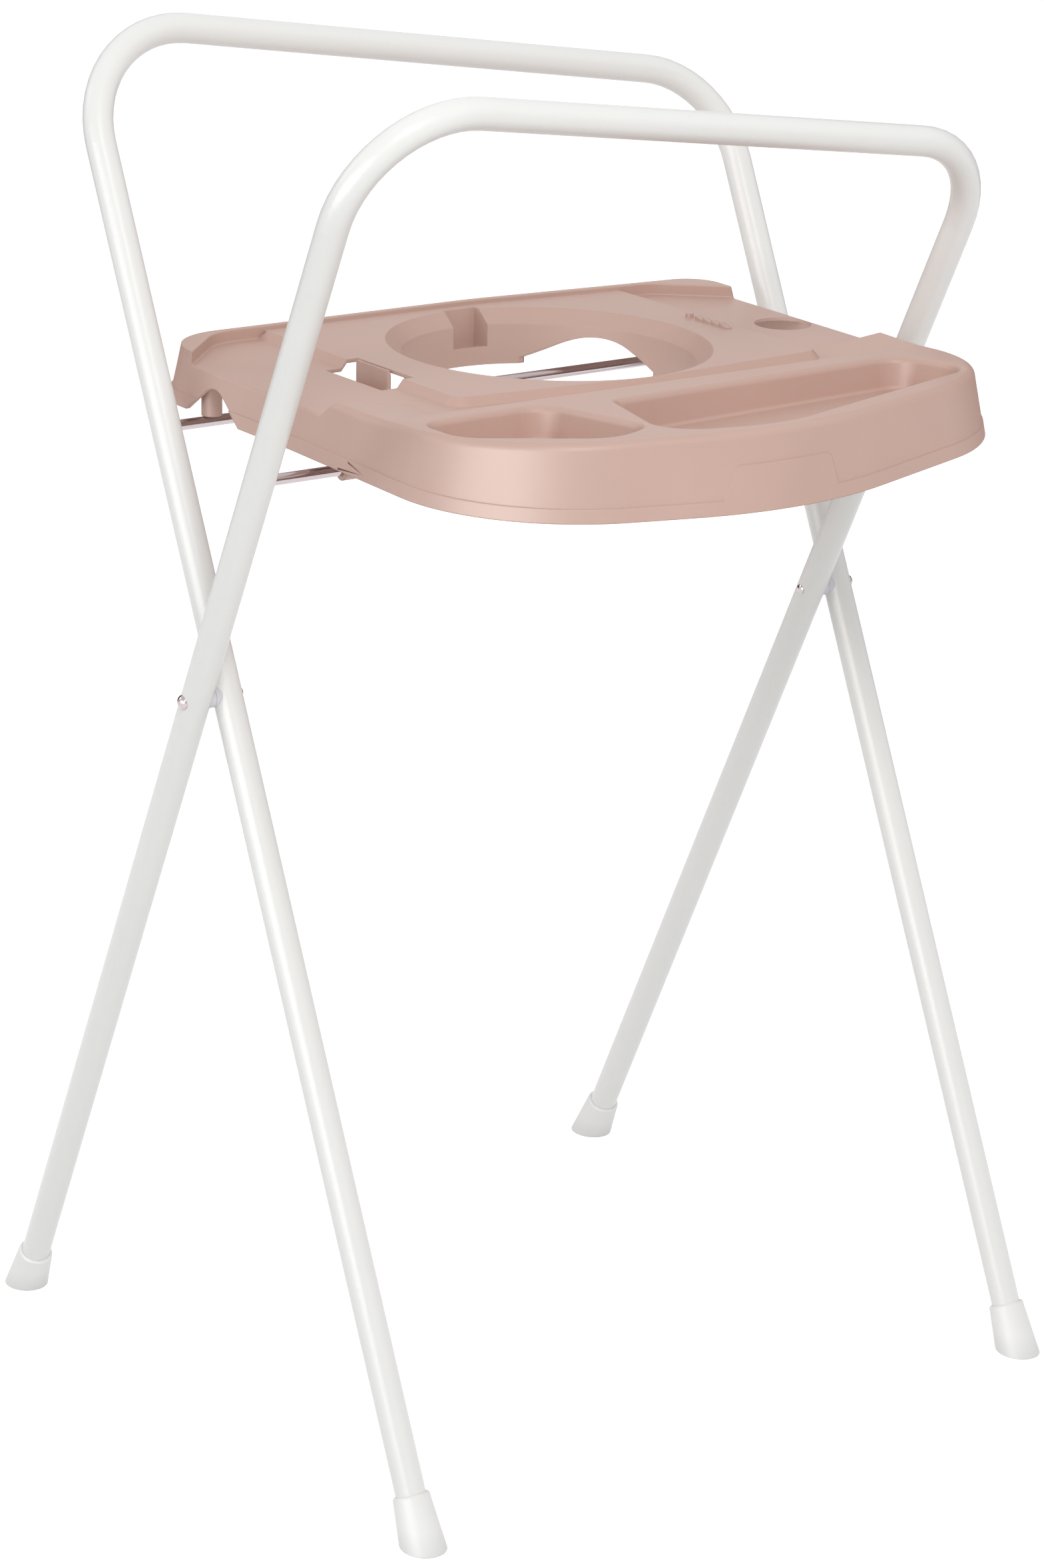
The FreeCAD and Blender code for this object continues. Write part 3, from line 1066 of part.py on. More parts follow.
def cut_slits(tray):
    """Two slits in the left wall that free a pointed tongue over the jaw."""
    meet = "-Sizes.slit_meet"
    upper = "%s + Sizes.slit_upper_run" % meet
    lower = "%s + Sizes.slit_lower_run" % meet
    slits = [
        ("Upper", meet, upper, "Sizes.slit_level + Sizes.slit_upper_rise"),
        ("Lower", "%s + Sizes.slit_web" % meet, lower, "Sizes.slit_width / 4"),
    ]
    for name, tip, back, level in slits:
        slit = new_sketch(tray, name + "Slit", "YZ_Plane", level="-Sizes.tray_left + Sizes.notch_cut")
        draw_outline(slit, [
            (tip, "Sizes.slit_level", None),
            (back, level, None),
            (back, "%s + Sizes.slit_width" % level, None),
        ])
        pocket(tray, slit, "4 * Sizes.notch_cut")
    doc.recompute()


def make_all():
    for side in FRAMES:
        make_frame_tube(side)
        make_cross_rod(side)
        for hand in ("left", "right"):
            make_foot_cap(side, hand)
            make_saddle_washer(hand, side)
    for hand in ("left", "right"):
        make_rivet(hand)
    make_tray()


NOT_PARTS = ("tray_core", "tray_lip")


def check_and_export():
    doc.recompute()
    for item in doc.Objects:
        if "Invalid" in item.State or "Error" in item.State:
            raise RuntimeError("%s failed: %s" % (item.Name, item.State))
    bodies = [item for item in doc.Objects
              if item.TypeId == "PartDesign::Body" and item.Label not in NOT_PARTS]
    for body in bodies:
        if body.Shape.isNull() or not body.Shape.isValid():
            raise RuntimeError("%s has no sound shape" % body.Label)
    os.makedirs(PARTS_FOLDER, exist_ok=True)
    for body in bodies:
        body.Shape.exportStep(os.path.join(PARTS_FOLDER, body.Label + ".step"))
        box = body.Shape.BoundBox
        print("%-28s %9.1f mm3  solids %d  faces %3d  x %.1f..%.1f  y %.1f..%.1f  z %.1f..%.1f" % (
            body.Label, body.Shape.Volume, len(body.Shape.Solids), len(body.Shape.Faces),
            box.XMin, box.XMax, box.YMin, box.YMax, box.ZMin, box.ZMax))


make_all()
check_and_export()
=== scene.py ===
"""Finishes, pivot rivets, light and camera for a folding baby bath stand.

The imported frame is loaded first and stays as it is.  Every piece gets a node-based finish that
follows its real surface: powder coat, chrome plate, nylon or moulded plastic.  The pivot rivets
are turned anew with polished domes.  Lengths are metres.
"""

import json
import math

import bmesh
import bpy
from mathutils import Matrix, Vector


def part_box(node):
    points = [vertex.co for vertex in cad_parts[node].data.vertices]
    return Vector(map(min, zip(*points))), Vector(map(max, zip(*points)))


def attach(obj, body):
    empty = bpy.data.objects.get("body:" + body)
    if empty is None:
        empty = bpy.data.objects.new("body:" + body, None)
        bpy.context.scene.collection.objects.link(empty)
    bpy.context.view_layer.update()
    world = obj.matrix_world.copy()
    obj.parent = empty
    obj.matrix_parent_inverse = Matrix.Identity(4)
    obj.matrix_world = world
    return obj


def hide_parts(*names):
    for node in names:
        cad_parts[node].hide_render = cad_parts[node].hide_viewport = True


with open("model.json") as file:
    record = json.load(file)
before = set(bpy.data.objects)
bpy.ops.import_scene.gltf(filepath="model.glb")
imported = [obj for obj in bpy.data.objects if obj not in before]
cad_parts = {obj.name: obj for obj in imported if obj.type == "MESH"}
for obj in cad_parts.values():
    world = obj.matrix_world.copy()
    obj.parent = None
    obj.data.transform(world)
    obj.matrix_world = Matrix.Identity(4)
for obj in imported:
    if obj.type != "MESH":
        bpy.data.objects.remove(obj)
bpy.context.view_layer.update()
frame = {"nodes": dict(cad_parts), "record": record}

bl_info = {
    "name": "Baby Bath Stand Finishes",
    "version": (1, 0, 0),
    "blender": (4, 5, 0),
    "location": "3D View > Sidebar > Bath Stand",
    "description": "Finishes, rivets, light and camera for a folding baby bath stand",
    "category": "Object",
}

# Lens: focal length and image height in pixels, sensor height in millimetres.
FOCAL_PIXELS = 6082.77
IMAGE_HEIGHT = 2355
SENSOR_HEIGHT = 36.0

TUBES = ("front_frame_tube", "back_frame_tube")
RODS = ("front_cross_rod", "back_cross_rod")
RIVETS = ("left_pivot_rivet", "right_pivot_rivet")
WASHERS = ("left_front_saddle_washer", "left_back_saddle_washer",
           "right_front_saddle_washer", "right_back_saddle_washer")
FEET = ("front_left_foot_cap", "front_right_foot_cap",
        "back_left_foot_cap", "back_right_foot_cap")
TRAY = ("tray",)

# Domed rivets: counts of facets, the least angle of a sharp edge, the distance at which points
# merge, the dome's distance from the end of the CAD rivet, the shank, and the CAD rivet's tail.
DOME_STEPS = 12
TURN_STEPS = 64
SHARP_ANGLE = math.radians(35)
WELD_DISTANCE = 1e-6
DOME_INSET = 0.0001
SHANK_RADIUS = 0.003
CAD_TAIL_HEIGHT = 0.0022

# Finishes: the band of noise values that a spread covers, the noise above which a mark shows, how
# far roughness wanders round its setting, and the depths of coat, plate and mould grain.
NOISE_LOW, NOISE_HIGH = 0.3, 0.7
MARK_THRESHOLD = 0.68
ROUGHNESS_BELOW, ROUGHNESS_ABOVE, PLATE_ROUGHNESS_ABOVE = 0.03, 0.04, 0.05
COAT_DEPTH, PLATE_DEPTH, MOULD_DEPTH = 0.00012, 0.00002, 0.00006
EDGE_SAMPLES = 6

# Stage colours, and how much the floor glows to the eye.
WHITE = (1.0, 1.0, 1.0, 1.0)
BLACK = (0.0, 0.0, 0.0, 1.0)
# Faint maroon glow of the dark cards: a painted dark reflection.
PAINTED_REFLECTION_MAROON = (0.16, 0.06, 0.06, 1.0)
FLOOR_COLOR = (0.8, 0.8, 0.8, 1.0)
FLOOR_LIFT = 0.6

# Lamps: name, place, side of the square, share of the set power.  Both point at LAMP_TARGET.
LAMPS = (
    ("high", (-1.1, -2.3, 2.7), 1.1, 1.0),
    ("back", (-2.2, 2.2, 2.4), 1.2, 0.35),
)
LAMP_TARGET = (0.0, -0.05, 0.62)

# Cards round the set that only glossy rays meet: name, azimuth in degrees clockwise from straight
# ahead, distance, width, height of the lower and the upper edge.
# The dark cards glow a faint maroon and give chrome and tube edges painted dark reflections.
DARK_CARDS = (
    ("left_dark_card", -2.0, 3.2, 3.6, 0.02, 2.6),
    ("right_dark_card", 73.0, 3.2, 3.2, 0.02, 2.6),
    ("front_dark_card", 143.0, 3.2, 1.4, 0.02, 1.9),
)
NARROW_CARD = ("narrow_reflector", -112.0, 3.1, 0.6, 0.4, 1.9)
WIDE_CARD = ("wide_reflector", -106.0, 3.3, 3.4, 0.4, 2.0)


# ---------------------------------------------------------------- settings
class BathStandFinishes(bpy.types.PropertyGroup):
    """Colours and surface qualities of the pieces."""

    powder_color: bpy.props.FloatVectorProperty(
        name="Powder coat", description="White powder coat of the tubes",
        subtype="COLOR", size=3, min=0, max=1, default=(0.80, 0.80, 0.782))
    powder_roughness: bpy.props.FloatProperty(
        name="Powder roughness", description="Satin level of the powder coat",
        subtype="FACTOR", min=0, max=1, default=0.33)
    # Plate colour darkened and tinted pink: the plate's own colour with a painted reflection of the
    # shaded pink tray.
    plate_color_painted_reflection: bpy.props.FloatVectorProperty(
        name="Chrome plate", description="Plated rods and rivets",
        subtype="COLOR", size=3, min=0, max=1, default=(0.50, 0.44, 0.45))
    nylon_color: bpy.props.FloatVectorProperty(
        name="Nylon", description="Saddle washers at the pivots",
        subtype="COLOR", size=3, min=0, max=1, default=(0.66, 0.65, 0.69))
    foot_color: bpy.props.FloatVectorProperty(
        name="Foot caps", description="White plastic of the feet",
        subtype="COLOR", size=3, min=0, max=1, default=(0.80, 0.80, 0.785))
    tray_color: bpy.props.FloatVectorProperty(
        name="Tray", description="Dusty pink of the moulded tray",
        subtype="COLOR", size=3, min=0, max=1, default=(0.54, 0.362, 0.305))
    tray_roughness: bpy.props.FloatProperty(
        name="Tray roughness", description="Matt level of the moulded grain",
        subtype="FACTOR", min=0, max=1, default=0.45)


class BathStandRivets(bpy.types.PropertyGroup):
    """Sizes of the domed pivot rivets."""

    head_diameter: bpy.props.FloatProperty(
        name="Head diameter", description="Width of the polished dome",
        subtype="DISTANCE", unit="LENGTH", min=0.006, max=0.013, default=0.0106)
    head_height: bpy.props.FloatProperty(
        name="Head height", description="Height of the dome over the tube",
        subtype="DISTANCE", unit="LENGTH", min=0.001, max=0.0033, default=0.0033)
    head_skirt: bpy.props.FloatProperty(
        name="Head skirt", description="How far the head's rim follows the round of the tube",
        subtype="DISTANCE", unit="LENGTH", min=0.0, max=0.002, default=0.0013)
    tail_diameter: bpy.props.FloatProperty(
        name="Tail diameter", description="Width of the closed end inside the frame",
        subtype="DISTANCE", unit="LENGTH", min=0.006, max=0.011, default=0.0075)
    tail_height: bpy.props.FloatProperty(
        name="Tail height", description="Height of the closed end over the tube",
        subtype="DISTANCE", unit="LENGTH", min=0.0005, max=0.0022, default=0.0012)


class BathStandStage(bpy.types.PropertyGroup):
    """Floor, light and view."""

    floor_size: bpy.props.FloatProperty(
        name="Floor", description="Side of the square floor",
        subtype="DISTANCE", unit="LENGTH", min=1, default=14.0)
    sky_strength: bpy.props.FloatProperty(
        name="Room light", description="Even light from all round", min=0, default=0.74)
    high_power: bpy.props.FloatProperty(
        name="High light", description="Power of the lamp above the camera in watts",
        min=0, default=38.0)
    narrow_strength: bpy.props.FloatProperty(
        name="Narrow reflector", description="Brightness of the card that streaks the tubes",
        min=0, default=6.5)
    wide_strength: bpy.props.FloatProperty(
        name="Wide reflector", description="Brightness of the card behind the tray's sheen",
        min=0, default=7.5)
    camera_place: bpy.props.FloatVectorProperty(
        name="Camera place", description="Where the camera stands",
        subtype="TRANSLATION", unit="LENGTH", size=3, default=(-1.70585, -2.33016, 1.41827))
    camera_yaw: bpy.props.FloatProperty(
        name="Camera yaw", description="Turn to the right from straight ahead",
        subtype="ANGLE", default=math.radians(36.09))
    camera_pitch: bpy.props.FloatProperty(
        name="Camera pitch", description="Tilt, negative looks down",
        subtype="ANGLE", default=math.radians(-18.69))
    camera_roll: bpy.props.FloatProperty(
        name="Camera roll", description="Roll about the line of sight",
        subtype="ANGLE", default=math.radians(1.43))


def finishes():
    """The colours and surface qualities of the open scene."""
    return bpy.context.scene.bath_stand_finishes


def rivet_sizes():
    """The rivets' sizes of the open scene."""
    return bpy.context.scene.bath_stand_rivets


def stage_settings():
    """Floor, light and view of the open scene."""
    return bpy.context.scene.bath_stand_stage


def add_object(name, data):
    """A new object of the scene."""
    item = bpy.data.objects.new(name, data)
    bpy.context.scene.collection.objects.link(item)
    return item


# ---------------------------------------------------------------- shared shader groups
def new_group(name, inputs, outputs):
    """An empty shader node group; its inputs and outputs are numbers."""
    group = bpy.data.node_groups.new(name, "ShaderNodeTree")
    for label, default in inputs.items():
        socket = group.interface.new_socket(label, in_out="INPUT", socket_type="NodeSocketFloat")
        socket.default_value = default
    for label in outputs:
        group.interface.new_socket(label, in_out="OUTPUT", socket_type="NodeSocketFloat")
    return group, group.nodes.new("NodeGroupInput"), group.nodes.new("NodeGroupOutput")


def new_node(tree, kind, inputs):
    """A node whose inputs are fed by name, each from a fixed value or another node's output."""
    node = tree.nodes.new(kind)
    for label, value in inputs.items():
        feed(tree, value, node.inputs[label])
    return node


def feed(tree, value, socket):
    """Link a socket to another node's output, or give it a fixed value."""
    if isinstance(value, bpy.types.NodeSocket):
        tree.links.new(value, socket)
    else:
        socket.default_value = value


def noise(tree, coordinates, scale, detail, roughness=0.5):
    """A noise texture over the given coordinates."""
    return new_node(tree, "ShaderNodeTexNoise", {
        "Vector": coordinates, "Scale": scale, "Detail": detail, "Roughness": roughness,
    }).outputs["Fac"]


def math_node(tree, operation, first, second, clamp=False):
    """A Math node; each operand is a number or an output."""
    node = tree.nodes.new("ShaderNodeMath")
    node.operation = operation
    node.use_clamp = clamp
    feed(tree, first, node.inputs[0])
    feed(tree, second, node.inputs[1])
    return node.outputs[0]


def spread(tree, value, low, high):
    """Map the usual band of a noise onto low to high."""
    return new_node(tree, "ShaderNodeMapRange", {
        "Value": value, "From Min": NOISE_LOW, "From Max": NOISE_HIGH,
        "To Min": low, "To Max": high,
    }).outputs["Result"]


def object_place(tree):
    """The place on the piece, in metres."""
    return tree.nodes.new("ShaderNodeTexCoord").outputs["Object"]


def surface_grain_group():
    """Fine grain on soft waves: mould texture, or powder coat where the grain is coarse."""
    name = "Surface Grain"
    if name in bpy.data.node_groups:
        return bpy.data.node_groups[name]
    defaults = {"Grain Scale": 1600.0, "Wave Scale": 260.0, "Wave Share": 0.4}
    group, inside, outside = new_group(name, defaults, ("Height", "Mottle"))
    place = object_place(group)
    fine = noise(group, place, inside.outputs["Grain Scale"], detail=3.0, roughness=0.6)
    wave = noise(group, place, inside.outputs["Wave Scale"], detail=1.0)
    wave_part = math_node(group, "MULTIPLY", wave, inside.outputs["Wave Share"])
    rest = math_node(group, "SUBTRACT", 1.0, inside.outputs["Wave Share"])
    fine_part = math_node(group, "MULTIPLY", fine, rest)
    group.links.new(math_node(group, "ADD", wave_part, fine_part), outside.inputs["Height"])
    mottle = noise(group, place, scale=9.0, detail=4.0, roughness=0.55)
    group.links.new(mottle, outside.inputs["Mottle"])
    return group


def marks_and_floor_group():
    """Two masks: marks of handling, and a darkening that fades upwards from the floor."""
    name = "Handling Marks"
    if name in bpy.data.node_groups:
        return bpy.data.node_groups[name]
    defaults = {"Scuff Scale": 45.0, "Floor Reach": 0.03}
    group, inside, outside = new_group(name, defaults, ("Scuffs", "Floor Darkening"))
    place = object_place(group)
    tall = new_node(group, "ShaderNodeMapping", {"Vector": place, "Scale": (1.0, 1.0, 0.25)})
    marks = noise(group, tall.outputs["Vector"], inside.outputs["Scuff Scale"],
                  detail=6.0, roughness=0.7)
    scuffs = math_node(group, "GREATER_THAN", marks, MARK_THRESHOLD)
    group.links.new(scuffs, outside.inputs["Scuffs"])
    height = new_node(group, "ShaderNodeSeparateXYZ", {"Vector": place}).outputs["Z"]
    share = math_node(group, "DIVIDE", height, inside.outputs["Floor Reach"])
    near = math_node(group, "SUBTRACT", 1.0, share, clamp=True)
    group.links.new(near, outside.inputs["Floor Darkening"])
    return group


def place_group(tree, group, values):
    """A shared group in a material, with its inputs set."""
    node = tree.nodes.new("ShaderNodeGroup")
    node.node_tree = group
    for label, value in values.items():
        node.inputs[label].default_value = value
    return node


# ---------------------------------------------------------------- finishes
def new_material(name):
    """A material with its Principled shader."""
    material = bpy.data.materials.new(name)
    material.use_nodes = True
    tree = material.node_tree
    return material, tree, tree.nodes["Principled BSDF"]


def shade(color, factor):
    """An opaque colour, darker or lighter by a factor."""
    return tuple(part * factor for part in color) + (1.0,)


def mix_colors(tree, mask, low, high):
    """From the low colour to the high one, by a mask over the surface."""
    node = tree.nodes.new("ShaderNodeMix")
    node.data_type = "RGBA"
    feed(tree, low, node.inputs["A"])
    feed(tree, high, node.inputs["B"])
    feed(tree, mask, node.inputs["Factor"])
    return node.outputs["Result"]


def mottled(tree, skin, color, dark, light):
    """A colour that drifts between two shades of itself."""
    mask = spread(tree, skin.outputs["Mottle"], 0.0, 1.0)
    return mix_colors(tree, mask, shade(color, dark), shade(color, light))


def uneven_roughness(tree, shader, skin, roughness, above=ROUGHNESS_ABOVE):
    """Roughness that wanders a little round its setting."""
    band = spread(tree, skin.outputs["Mottle"], roughness - ROUGHNESS_BELOW, roughness + above)
    tree.links.new(band, shader.inputs["Roughness"])


def soft_edges(tree, shader, skin, depth, radius):
    """Grain of a depth, over edges that shade as if rounded to a radius."""
    rounded = new_node(tree, "ShaderNodeBevel", {"Radius": radius})
    rounded.samples = EDGE_SAMPLES
    bump = new_node(tree, "ShaderNodeBump", {
        "Strength": 1.0, "Distance": depth, "Height": skin.outputs["Height"],
        "Normal": rounded.outputs["Normal"],
    })
    tree.links.new(bump.outputs["Normal"], shader.inputs["Normal"])


def powder_coat():
    """Satin white powder coat with a faint orange peel."""
    settings = finishes()
    material, tree, shader = new_material("White Powder Coat")
    skin = place_group(tree, surface_grain_group(),
                       {"Grain Scale": 900.0, "Wave Scale": 330.0, "Wave Share": 0.8})
    tone = mottled(tree, skin, settings.powder_color, dark=0.985, light=1.0)
    tree.links.new(tone, shader.inputs["Base Color"])
    uneven_roughness(tree, shader, skin, settings.powder_roughness)
    shader.inputs["Specular IOR Level"].default_value = 0.3
    soft_edges(tree, shader, skin, COAT_DEPTH, radius=0.0004)
    return material


def chrome_plate(name, roughness):
    """Bright plate with a faint grain and water marks; its colour holds a painted dark pink
    reflection.
    """
    material, tree, shader = new_material(name)
    skin = place_group(tree, surface_grain_group(),
                       {"Grain Scale": 2200.0, "Wave Scale": 500.0, "Wave Share": 0.3})
    marks = place_group(tree, marks_and_floor_group(), {"Scuff Scale": 160.0})
    # The plate's colour carries a painted dark pink reflection of the shaded tray.
    color = finishes().plate_color_painted_reflection
    tone = mix_colors(tree, marks.outputs["Scuffs"], shade(color, 1.0), shade(color, 0.9))
    tree.links.new(tone, shader.inputs["Base Color"])
    shader.inputs["Metallic"].default_value = 1.0
    uneven_roughness(tree, shader, skin, roughness, above=PLATE_ROUGHNESS_ABOVE)
    soft_edges(tree, shader, skin, PLATE_DEPTH, radius=0.0003)
    return material


def moulded_plastic(name, color, roughness, grain, radius, floor_darkening=0.0):
    """Moulded plastic with fine grain, faint flow tone, soft edges and a darker tone near the
    floor.
    """
    material, tree, shader = new_material(name)
    skin = place_group(tree, surface_grain_group(),
                       {"Grain Scale": grain, "Wave Scale": grain / 6.0, "Wave Share": 0.25})
    tone = mottled(tree, skin, color, dark=0.97, light=1.02)
    # Darker towards the floor: a mask that fades upwards from the floor deepens the tone.
    if floor_darkening:
        marks = place_group(tree, marks_and_floor_group(), {"Floor Reach": 0.016})
        amount = math_node(tree, "MULTIPLY", marks.outputs["Floor Darkening"], floor_darkening)
        tone = mix_colors(tree, amount, tone, shade(color, 0.72))
    tree.links.new(tone, shader.inputs["Base Color"])
    uneven_roughness(tree, shader, skin, roughness)
    soft_edges(tree, shader, skin, MOULD_DEPTH, radius)
    return material


def finish_nodes(names, material):
    """Give the named pieces of the frame a finish."""
    for name in names:
        slots = frame["nodes"][name].material_slots
        if not slots:
            raise RuntimeError("no material slot on " + name)
        for slot in slots:
            slot.material = material


# ---------------------------------------------------------------- domed rivets
def dome_points(base, rise, radius):
    """Points of a round cap from rim to tip: place along the axis and distance from it."""
    sphere = (radius ** 2 + rise ** 2) / (2 * abs(rise))
    half_angle = math.atan2(radius, sphere - abs(rise))
    side = math.copysign(1.0, rise)
    points = []
    for step in range(DOME_STEPS + 1):
        angle = half_angle * (1 - step / DOME_STEPS)
        along = base + rise - side * sphere * (1 - math.cos(angle))
        points.append((along, sphere * math.sin(angle)))
    return points


def turned_mesh(name, profile):
    """A closed mesh turned about the X axis; profile runs from tip to tip as (x, radius)."""
    mesh = bpy.data.meshes.new(name)
    shape = bmesh.new()
    line = [shape.verts.new((along, 0.0, radius)) for along, radius in profile]
    edges = [shape.edges.new(pair) for pair in zip(line, line[1:])]
    bmesh.ops.spin(shape, geom=line + edges, cent=(0, 0, 0), axis=(1, 0, 0), angle=2 * math.pi,
                   steps=TURN_STEPS, use_merge=True)
    bmesh.ops.remove_doubles(shape, verts=shape.verts, dist=WELD_DISTANCE)
    bmesh.ops.recalc_face_normals(shape, faces=shape.faces)
    for face in shape.faces:
        face.smooth = True
    for edge in shape.edges:
        edge.smooth = edge.calc_face_angle(0.0) < SHARP_ANGLE
    shape.to_mesh(mesh)
    shape.free()
    return mesh


def domed_rivet(node, material):
    """A polished dome outside the tubes, a shank through them and a small closed end inside."""
    sizes = rivet_sizes()
    low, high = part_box(node)
    outward = math.copysign(1.0, low[0] + high[0])
    tip = max(abs(low[0]), abs(high[0])) - DOME_INSET
    end = min(abs(low[0]), abs(high[0]))
    head_base = tip - sizes.head_height
    tail_base = end + CAD_TAIL_HEIGHT
    head, tail = sizes.head_diameter / 2, sizes.tail_diameter / 2
    profile = list(reversed(dome_points(head_base, sizes.head_height, head)))
    profile += [(head_base - sizes.head_skirt, head), (head_base - sizes.head_skirt, SHANK_RADIUS),
                (tail_base + sizes.head_skirt, SHANK_RADIUS), (tail_base + sizes.head_skirt, tail)]
    profile += dome_points(tail_base, -sizes.tail_height, tail)
    name = node.replace("pivot_rivet", "domed_rivet")
    rivet = add_object(name, turned_mesh(name, [(outward * x, r) for x, r in profile]))
    rivet.location = (0.0, (low[1] + high[1]) / 2, (low[2] + high[2]) / 2)
    rivet.data.materials.append(material)
    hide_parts(node)
    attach(rivet, body_holding(node))


def body_holding(node):
    """The name of the moving body that a piece of the frame belongs to."""
    for body, members in frame["record"]["behaviour"]["bodies"].items():
        if node in members:
            return body
    raise RuntimeError("no body holds " + node)


# ---------------------------------------------------------------- operators
class BATHSTAND_OT_tubes(bpy.types.Operator):
    """Coat the two bent frame tubes"""

    bl_idname = "bath_stand.tubes"
    bl_label = "Frame Tubes"

    def execute(self, context):
        finish_nodes(TUBES, powder_coat())
        return {"FINISHED"}


class BATHSTAND_OT_rods(bpy.types.Operator):
    """Plate the two cross rods under the tray"""

    bl_idname = "bath_stand.rods"
    bl_label = "Cross Rods"

    def execute(self, context):
        finish_nodes(RODS, chrome_plate("Rod Chrome", roughness=0.09))
        return {"FINISHED"}


class BATHSTAND_OT_rivets(bpy.types.Operator):
    """Turn and plate the domed pivot rivets of the scissor frames"""

    bl_idname = "bath_stand.rivets"
    bl_label = "Pivot Rivets"

    def execute(self, context):
        plate = chrome_plate("Rivet Plate", roughness=0.08)
        for node in RIVETS:
            domed_rivet(node, plate)
        return {"FINISHED"}


class BATHSTAND_OT_washers(bpy.types.Operator):
    """Finish the nylon saddle washers between the crossed legs"""

    bl_idname = "bath_stand.washers"
    bl_label = "Saddle Washers"

    def execute(self, context):
        nylon = moulded_plastic("White Nylon", finishes().nylon_color,
                                roughness=0.4, grain=2400.0, radius=0.0004)
        finish_nodes(WASHERS, nylon)
        return {"FINISHED"}


class BATHSTAND_OT_feet(bpy.types.Operator):
    """Finish the four flared foot caps"""

    bl_idname = "bath_stand.feet"
    bl_label = "Foot Caps"

    def execute(self, context):
        plastic = moulded_plastic("Foot Plastic", finishes().foot_color,
                                  roughness=0.48, grain=2000.0, radius=0.0008, floor_darkening=0.4)
        finish_nodes(FEET, plastic)
        return {"FINISHED"}


class BATHSTAND_OT_tray(bpy.types.Operator):
    """Finish the moulded tray"""

    bl_idname = "bath_stand.tray"
    bl_label = "Tray"

    def execute(self, context):
        settings = finishes()
        plastic = moulded_plastic("Tray Plastic", settings.tray_color, settings.tray_roughness,
                                  grain=1500.0, radius=0.0012)
        finish_nodes(TRAY, plastic)
        return {"FINISHED"}


class BATHSTAND_OT_stage(bpy.types.Operator):
    """Lay the floor, hang the lights and cards and set the camera"""

    bl_idname = "bath_stand.stage"
    bl_label = "Stage"

    def execute(self, context):
        settings = stage_settings()
        lay_floor()
        light_room()
        hang_lights()
        # Dark maroon cards that glow faintly: painted dark reflections.
        hang_cards(DARK_CARDS, card_material("Painted Dark Reflection Card", PAINTED_REFLECTION_MAROON, strength=1.0))
        narrow = card_material("Narrow Reflector", WHITE, settings.narrow_strength)
        hang_cards([NARROW_CARD], narrow)
        wide = card_material("Wide Reflector", WHITE, settings.wide_strength)
        hang_cards([WIDE_CARD], wide)
        set_camera()
        context.scene.view_settings.view_transform = "Standard"
        return {"FINISHED"}


# ---------------------------------------------------------------- stage
def seen_by_eye_or_shine(tree):
    """1 where a ray comes from the camera, a glossy or a transmitting surface."""
    path = tree.nodes.new("ShaderNodeLightPath")
    eye_or_gloss = math_node(tree, "MAXIMUM", path.outputs["Is Camera Ray"],
                             path.outputs["Is Glossy Ray"])
    return math_node(tree, "MAXIMUM", eye_or_gloss, path.outputs["Is Transmission Ray"])


def four_sided(name, corners, material):
    """A flat piece of one face."""
    mesh = bpy.data.meshes.new(name)
    mesh.from_pydata(corners, [], [(0, 1, 2, 3)])
    mesh.materials.append(material)
    return add_object(name, mesh)


def lay_floor():
    """A pale floor that reads as white and keeps the stand's soft shadow."""
    material, tree, shader = new_material("Pale Floor")
    shader.inputs["Base Color"].default_value = FLOOR_COLOR
    shader.inputs["Roughness"].default_value = 0.9
    shader.inputs["Specular IOR Level"].default_value = 0.1
    shader.inputs["Emission Color"].default_value = WHITE
    lift = math_node(tree, "MULTIPLY", seen_by_eye_or_shine(tree), FLOOR_LIFT)
    tree.links.new(lift, shader.inputs["Emission Strength"])
    half = stage_settings().floor_size / 2
    corners = [(-half, -half, 0), (half, -half, 0), (half, half, 0), (-half, half, 0)]
    floor = four_sided("floor", corners, material)


def light_room():
    """Even light all round; white to the eye and in reflections."""
    world = bpy.data.worlds.new("Room")
    world.use_nodes = True
    bpy.context.scene.world = world
    tree = world.node_tree
    background = tree.nodes["Background"]
    background.inputs["Color"].default_value = WHITE
    even = stage_settings().sky_strength
    lift = math_node(tree, "MULTIPLY", seen_by_eye_or_shine(tree), 1.0 - even)
    tree.links.new(math_node(tree, "ADD", lift, even), background.inputs["Strength"])


def hang_lights():
    """A soft lamp high in front and a weak one behind."""
    for name, place, size, share in LAMPS:
        data = bpy.data.lights.new(name, "AREA")
        data.shape = "SQUARE"
        data.size = size
        data.energy = stage_settings().high_power * share
        lamp = add_object(name, data)
        lamp.location = place
        aim = Vector(LAMP_TARGET) - Vector(place)
        lamp.rotation_euler = aim.to_track_quat("-Z", "Y").to_euler()


def card_material(name, color, strength):
    """A card of one even brightness."""
    material, _, shader = new_material(name)
    shader.inputs["Base Color"].default_value = BLACK
    shader.inputs["Roughness"].default_value = 1.0
    shader.inputs["Specular IOR Level"].default_value = 0.0
    shader.inputs["Emission Color"].default_value = color
    shader.inputs["Emission Strength"].default_value = strength
    return material


def hang_cards(cards, material):
    """Cards that only glossy rays meet; they give plate, coat and plastic their shine and painted
    dark reflections.
    """
    for name, azimuth, distance, width, foot, top in cards:
        angle = math.radians(azimuth)
        middle = Vector((math.sin(angle), math.cos(angle), 0.0)) * distance
        across = Vector((math.cos(angle), -math.sin(angle), 0.0)) * (width / 2)
        low, high = Vector((0.0, 0.0, foot)), Vector((0.0, 0.0, top))
        corners = [middle - across + low, middle + across + low,
                   middle + across + high, middle - across + high]
        card = four_sided(name, corners, material)
        card.visible_camera = False
        card.visible_diffuse = False
        card.visible_transmission = False
        card.visible_shadow = False


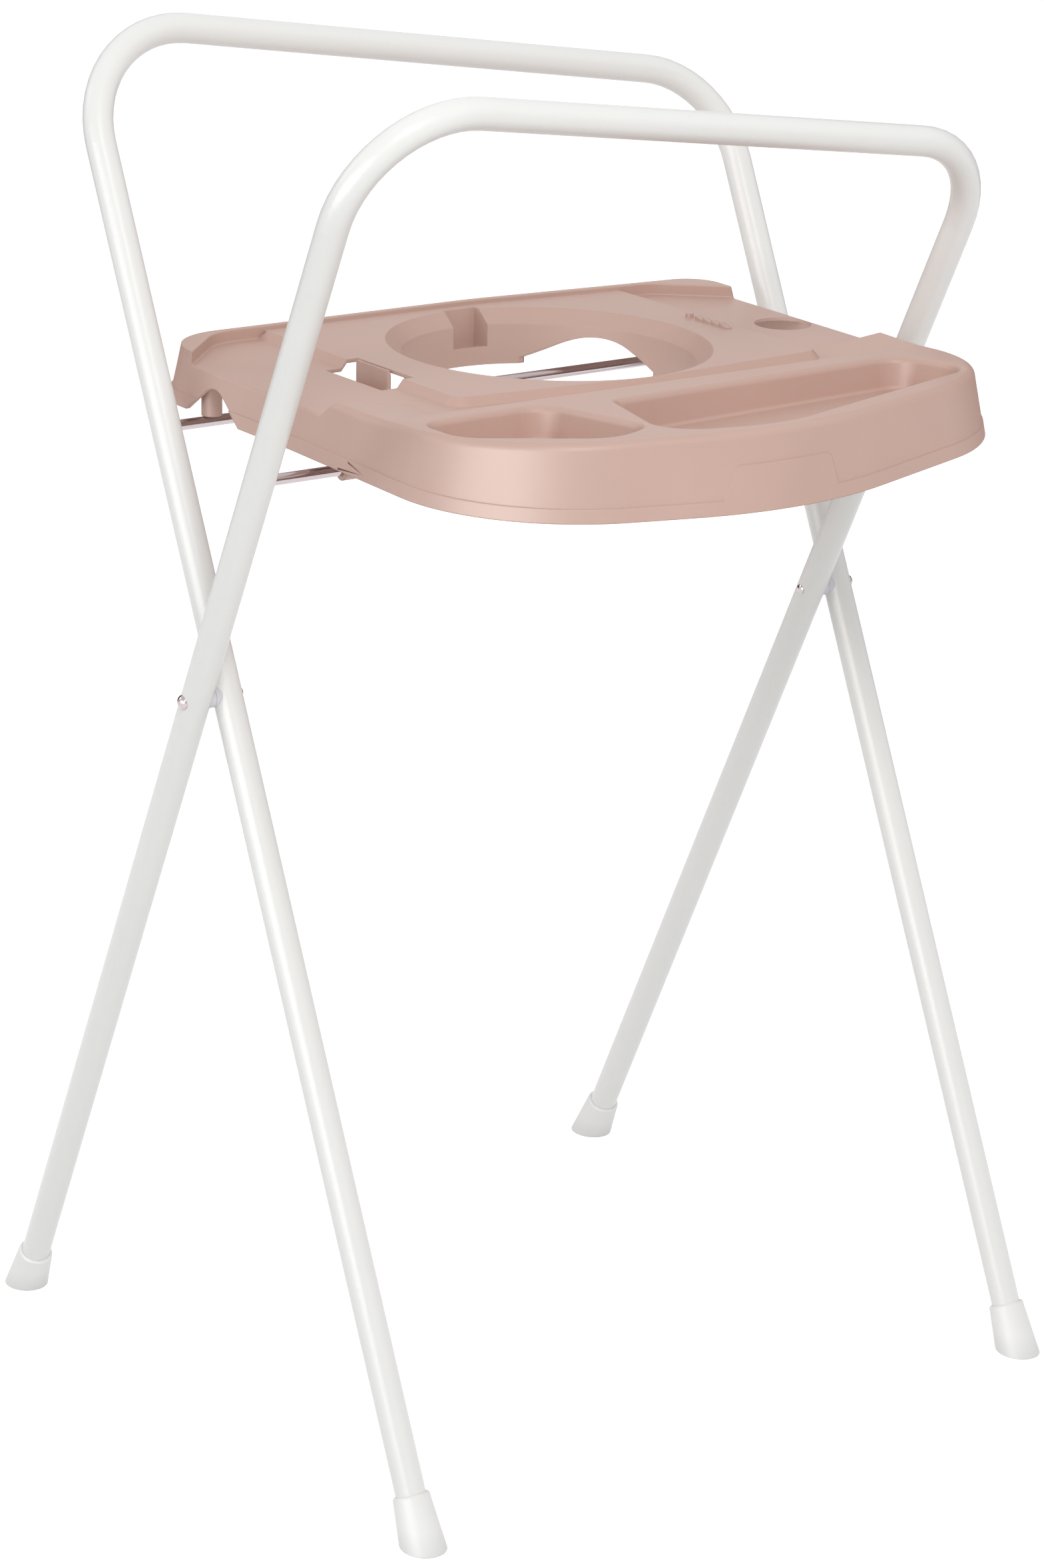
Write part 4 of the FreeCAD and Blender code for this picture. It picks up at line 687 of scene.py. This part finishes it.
def set_camera():
    """The camera at the view's place, turned by its yaw, pitch and roll."""
    settings = stage_settings()
    yaw, pitch, roll = settings.camera_yaw, settings.camera_pitch, settings.camera_roll
    ahead = Vector((math.sin(yaw) * math.cos(pitch), math.cos(yaw) * math.cos(pitch),
                    math.sin(pitch)))
    level_right = Vector((math.cos(yaw), -math.sin(yaw), 0.0))
    level_up = level_right.cross(ahead)
    right = math.cos(roll) * level_right + math.sin(roll) * level_up
    up = -math.sin(roll) * level_right + math.cos(roll) * level_up
    turn = Matrix((right, up, -ahead)).transposed()
    data = bpy.data.cameras.new("camera")
    data.sensor_fit = "VERTICAL"
    data.sensor_height = SENSOR_HEIGHT
    data.lens = FOCAL_PIXELS / IMAGE_HEIGHT * SENSOR_HEIGHT
    camera = add_object("camera", data)
    camera.matrix_world = Matrix.Translation(Vector(settings.camera_place)) @ turn.to_4x4()
    bpy.context.scene.camera = camera


# ---------------------------------------------------------------- panel and main
class BATHSTAND_PT_sidebar(bpy.types.Panel):
    """Finishes and stage of the bath stand"""

    bl_idname = "BATHSTAND_PT_sidebar"
    bl_label = "Bath Stand"
    bl_space_type = "VIEW_3D"
    bl_region_type = "UI"
    bl_category = "Bath Stand"

    def draw(self, context):
        layout = self.layout
        scene = context.scene
        for group in (scene.bath_stand_finishes, scene.bath_stand_rivets, scene.bath_stand_stage):
            box = layout.box()
            for name in group.__annotations__:
                box.prop(group, name)
        for operator in OPERATORS:
            layout.operator(operator.bl_idname)


OPERATORS = (BATHSTAND_OT_stage, BATHSTAND_OT_tubes, BATHSTAND_OT_rods, BATHSTAND_OT_rivets,
             BATHSTAND_OT_washers, BATHSTAND_OT_feet, BATHSTAND_OT_tray)
CLASSES = (BathStandFinishes, BathStandRivets, BathStandStage) + OPERATORS + (BATHSTAND_PT_sidebar,)


def register():
    """Make the add-on known to Blender."""
    for cls in CLASSES:
        bpy.utils.register_class(cls)
    scene_type = bpy.types.Scene
    scene_type.bath_stand_finishes = bpy.props.PointerProperty(type=BathStandFinishes)
    scene_type.bath_stand_rivets = bpy.props.PointerProperty(type=BathStandRivets)
    scene_type.bath_stand_stage = bpy.props.PointerProperty(type=BathStandStage)


def unregister():
    """Take the add-on out again."""
    del bpy.types.Scene.bath_stand_stage
    del bpy.types.Scene.bath_stand_rivets
    del bpy.types.Scene.bath_stand_finishes
    for cls in reversed(CLASSES):
        bpy.utils.unregister_class(cls)


def main():
    """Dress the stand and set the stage."""
    register()
    bpy.ops.bath_stand.stage()
    bpy.ops.bath_stand.tubes()
    bpy.ops.bath_stand.rods()
    bpy.ops.bath_stand.rivets()
    bpy.ops.bath_stand.washers()
    bpy.ops.bath_stand.feet()
    bpy.ops.bath_stand.tray()


if __name__ == "__main__":
    main()
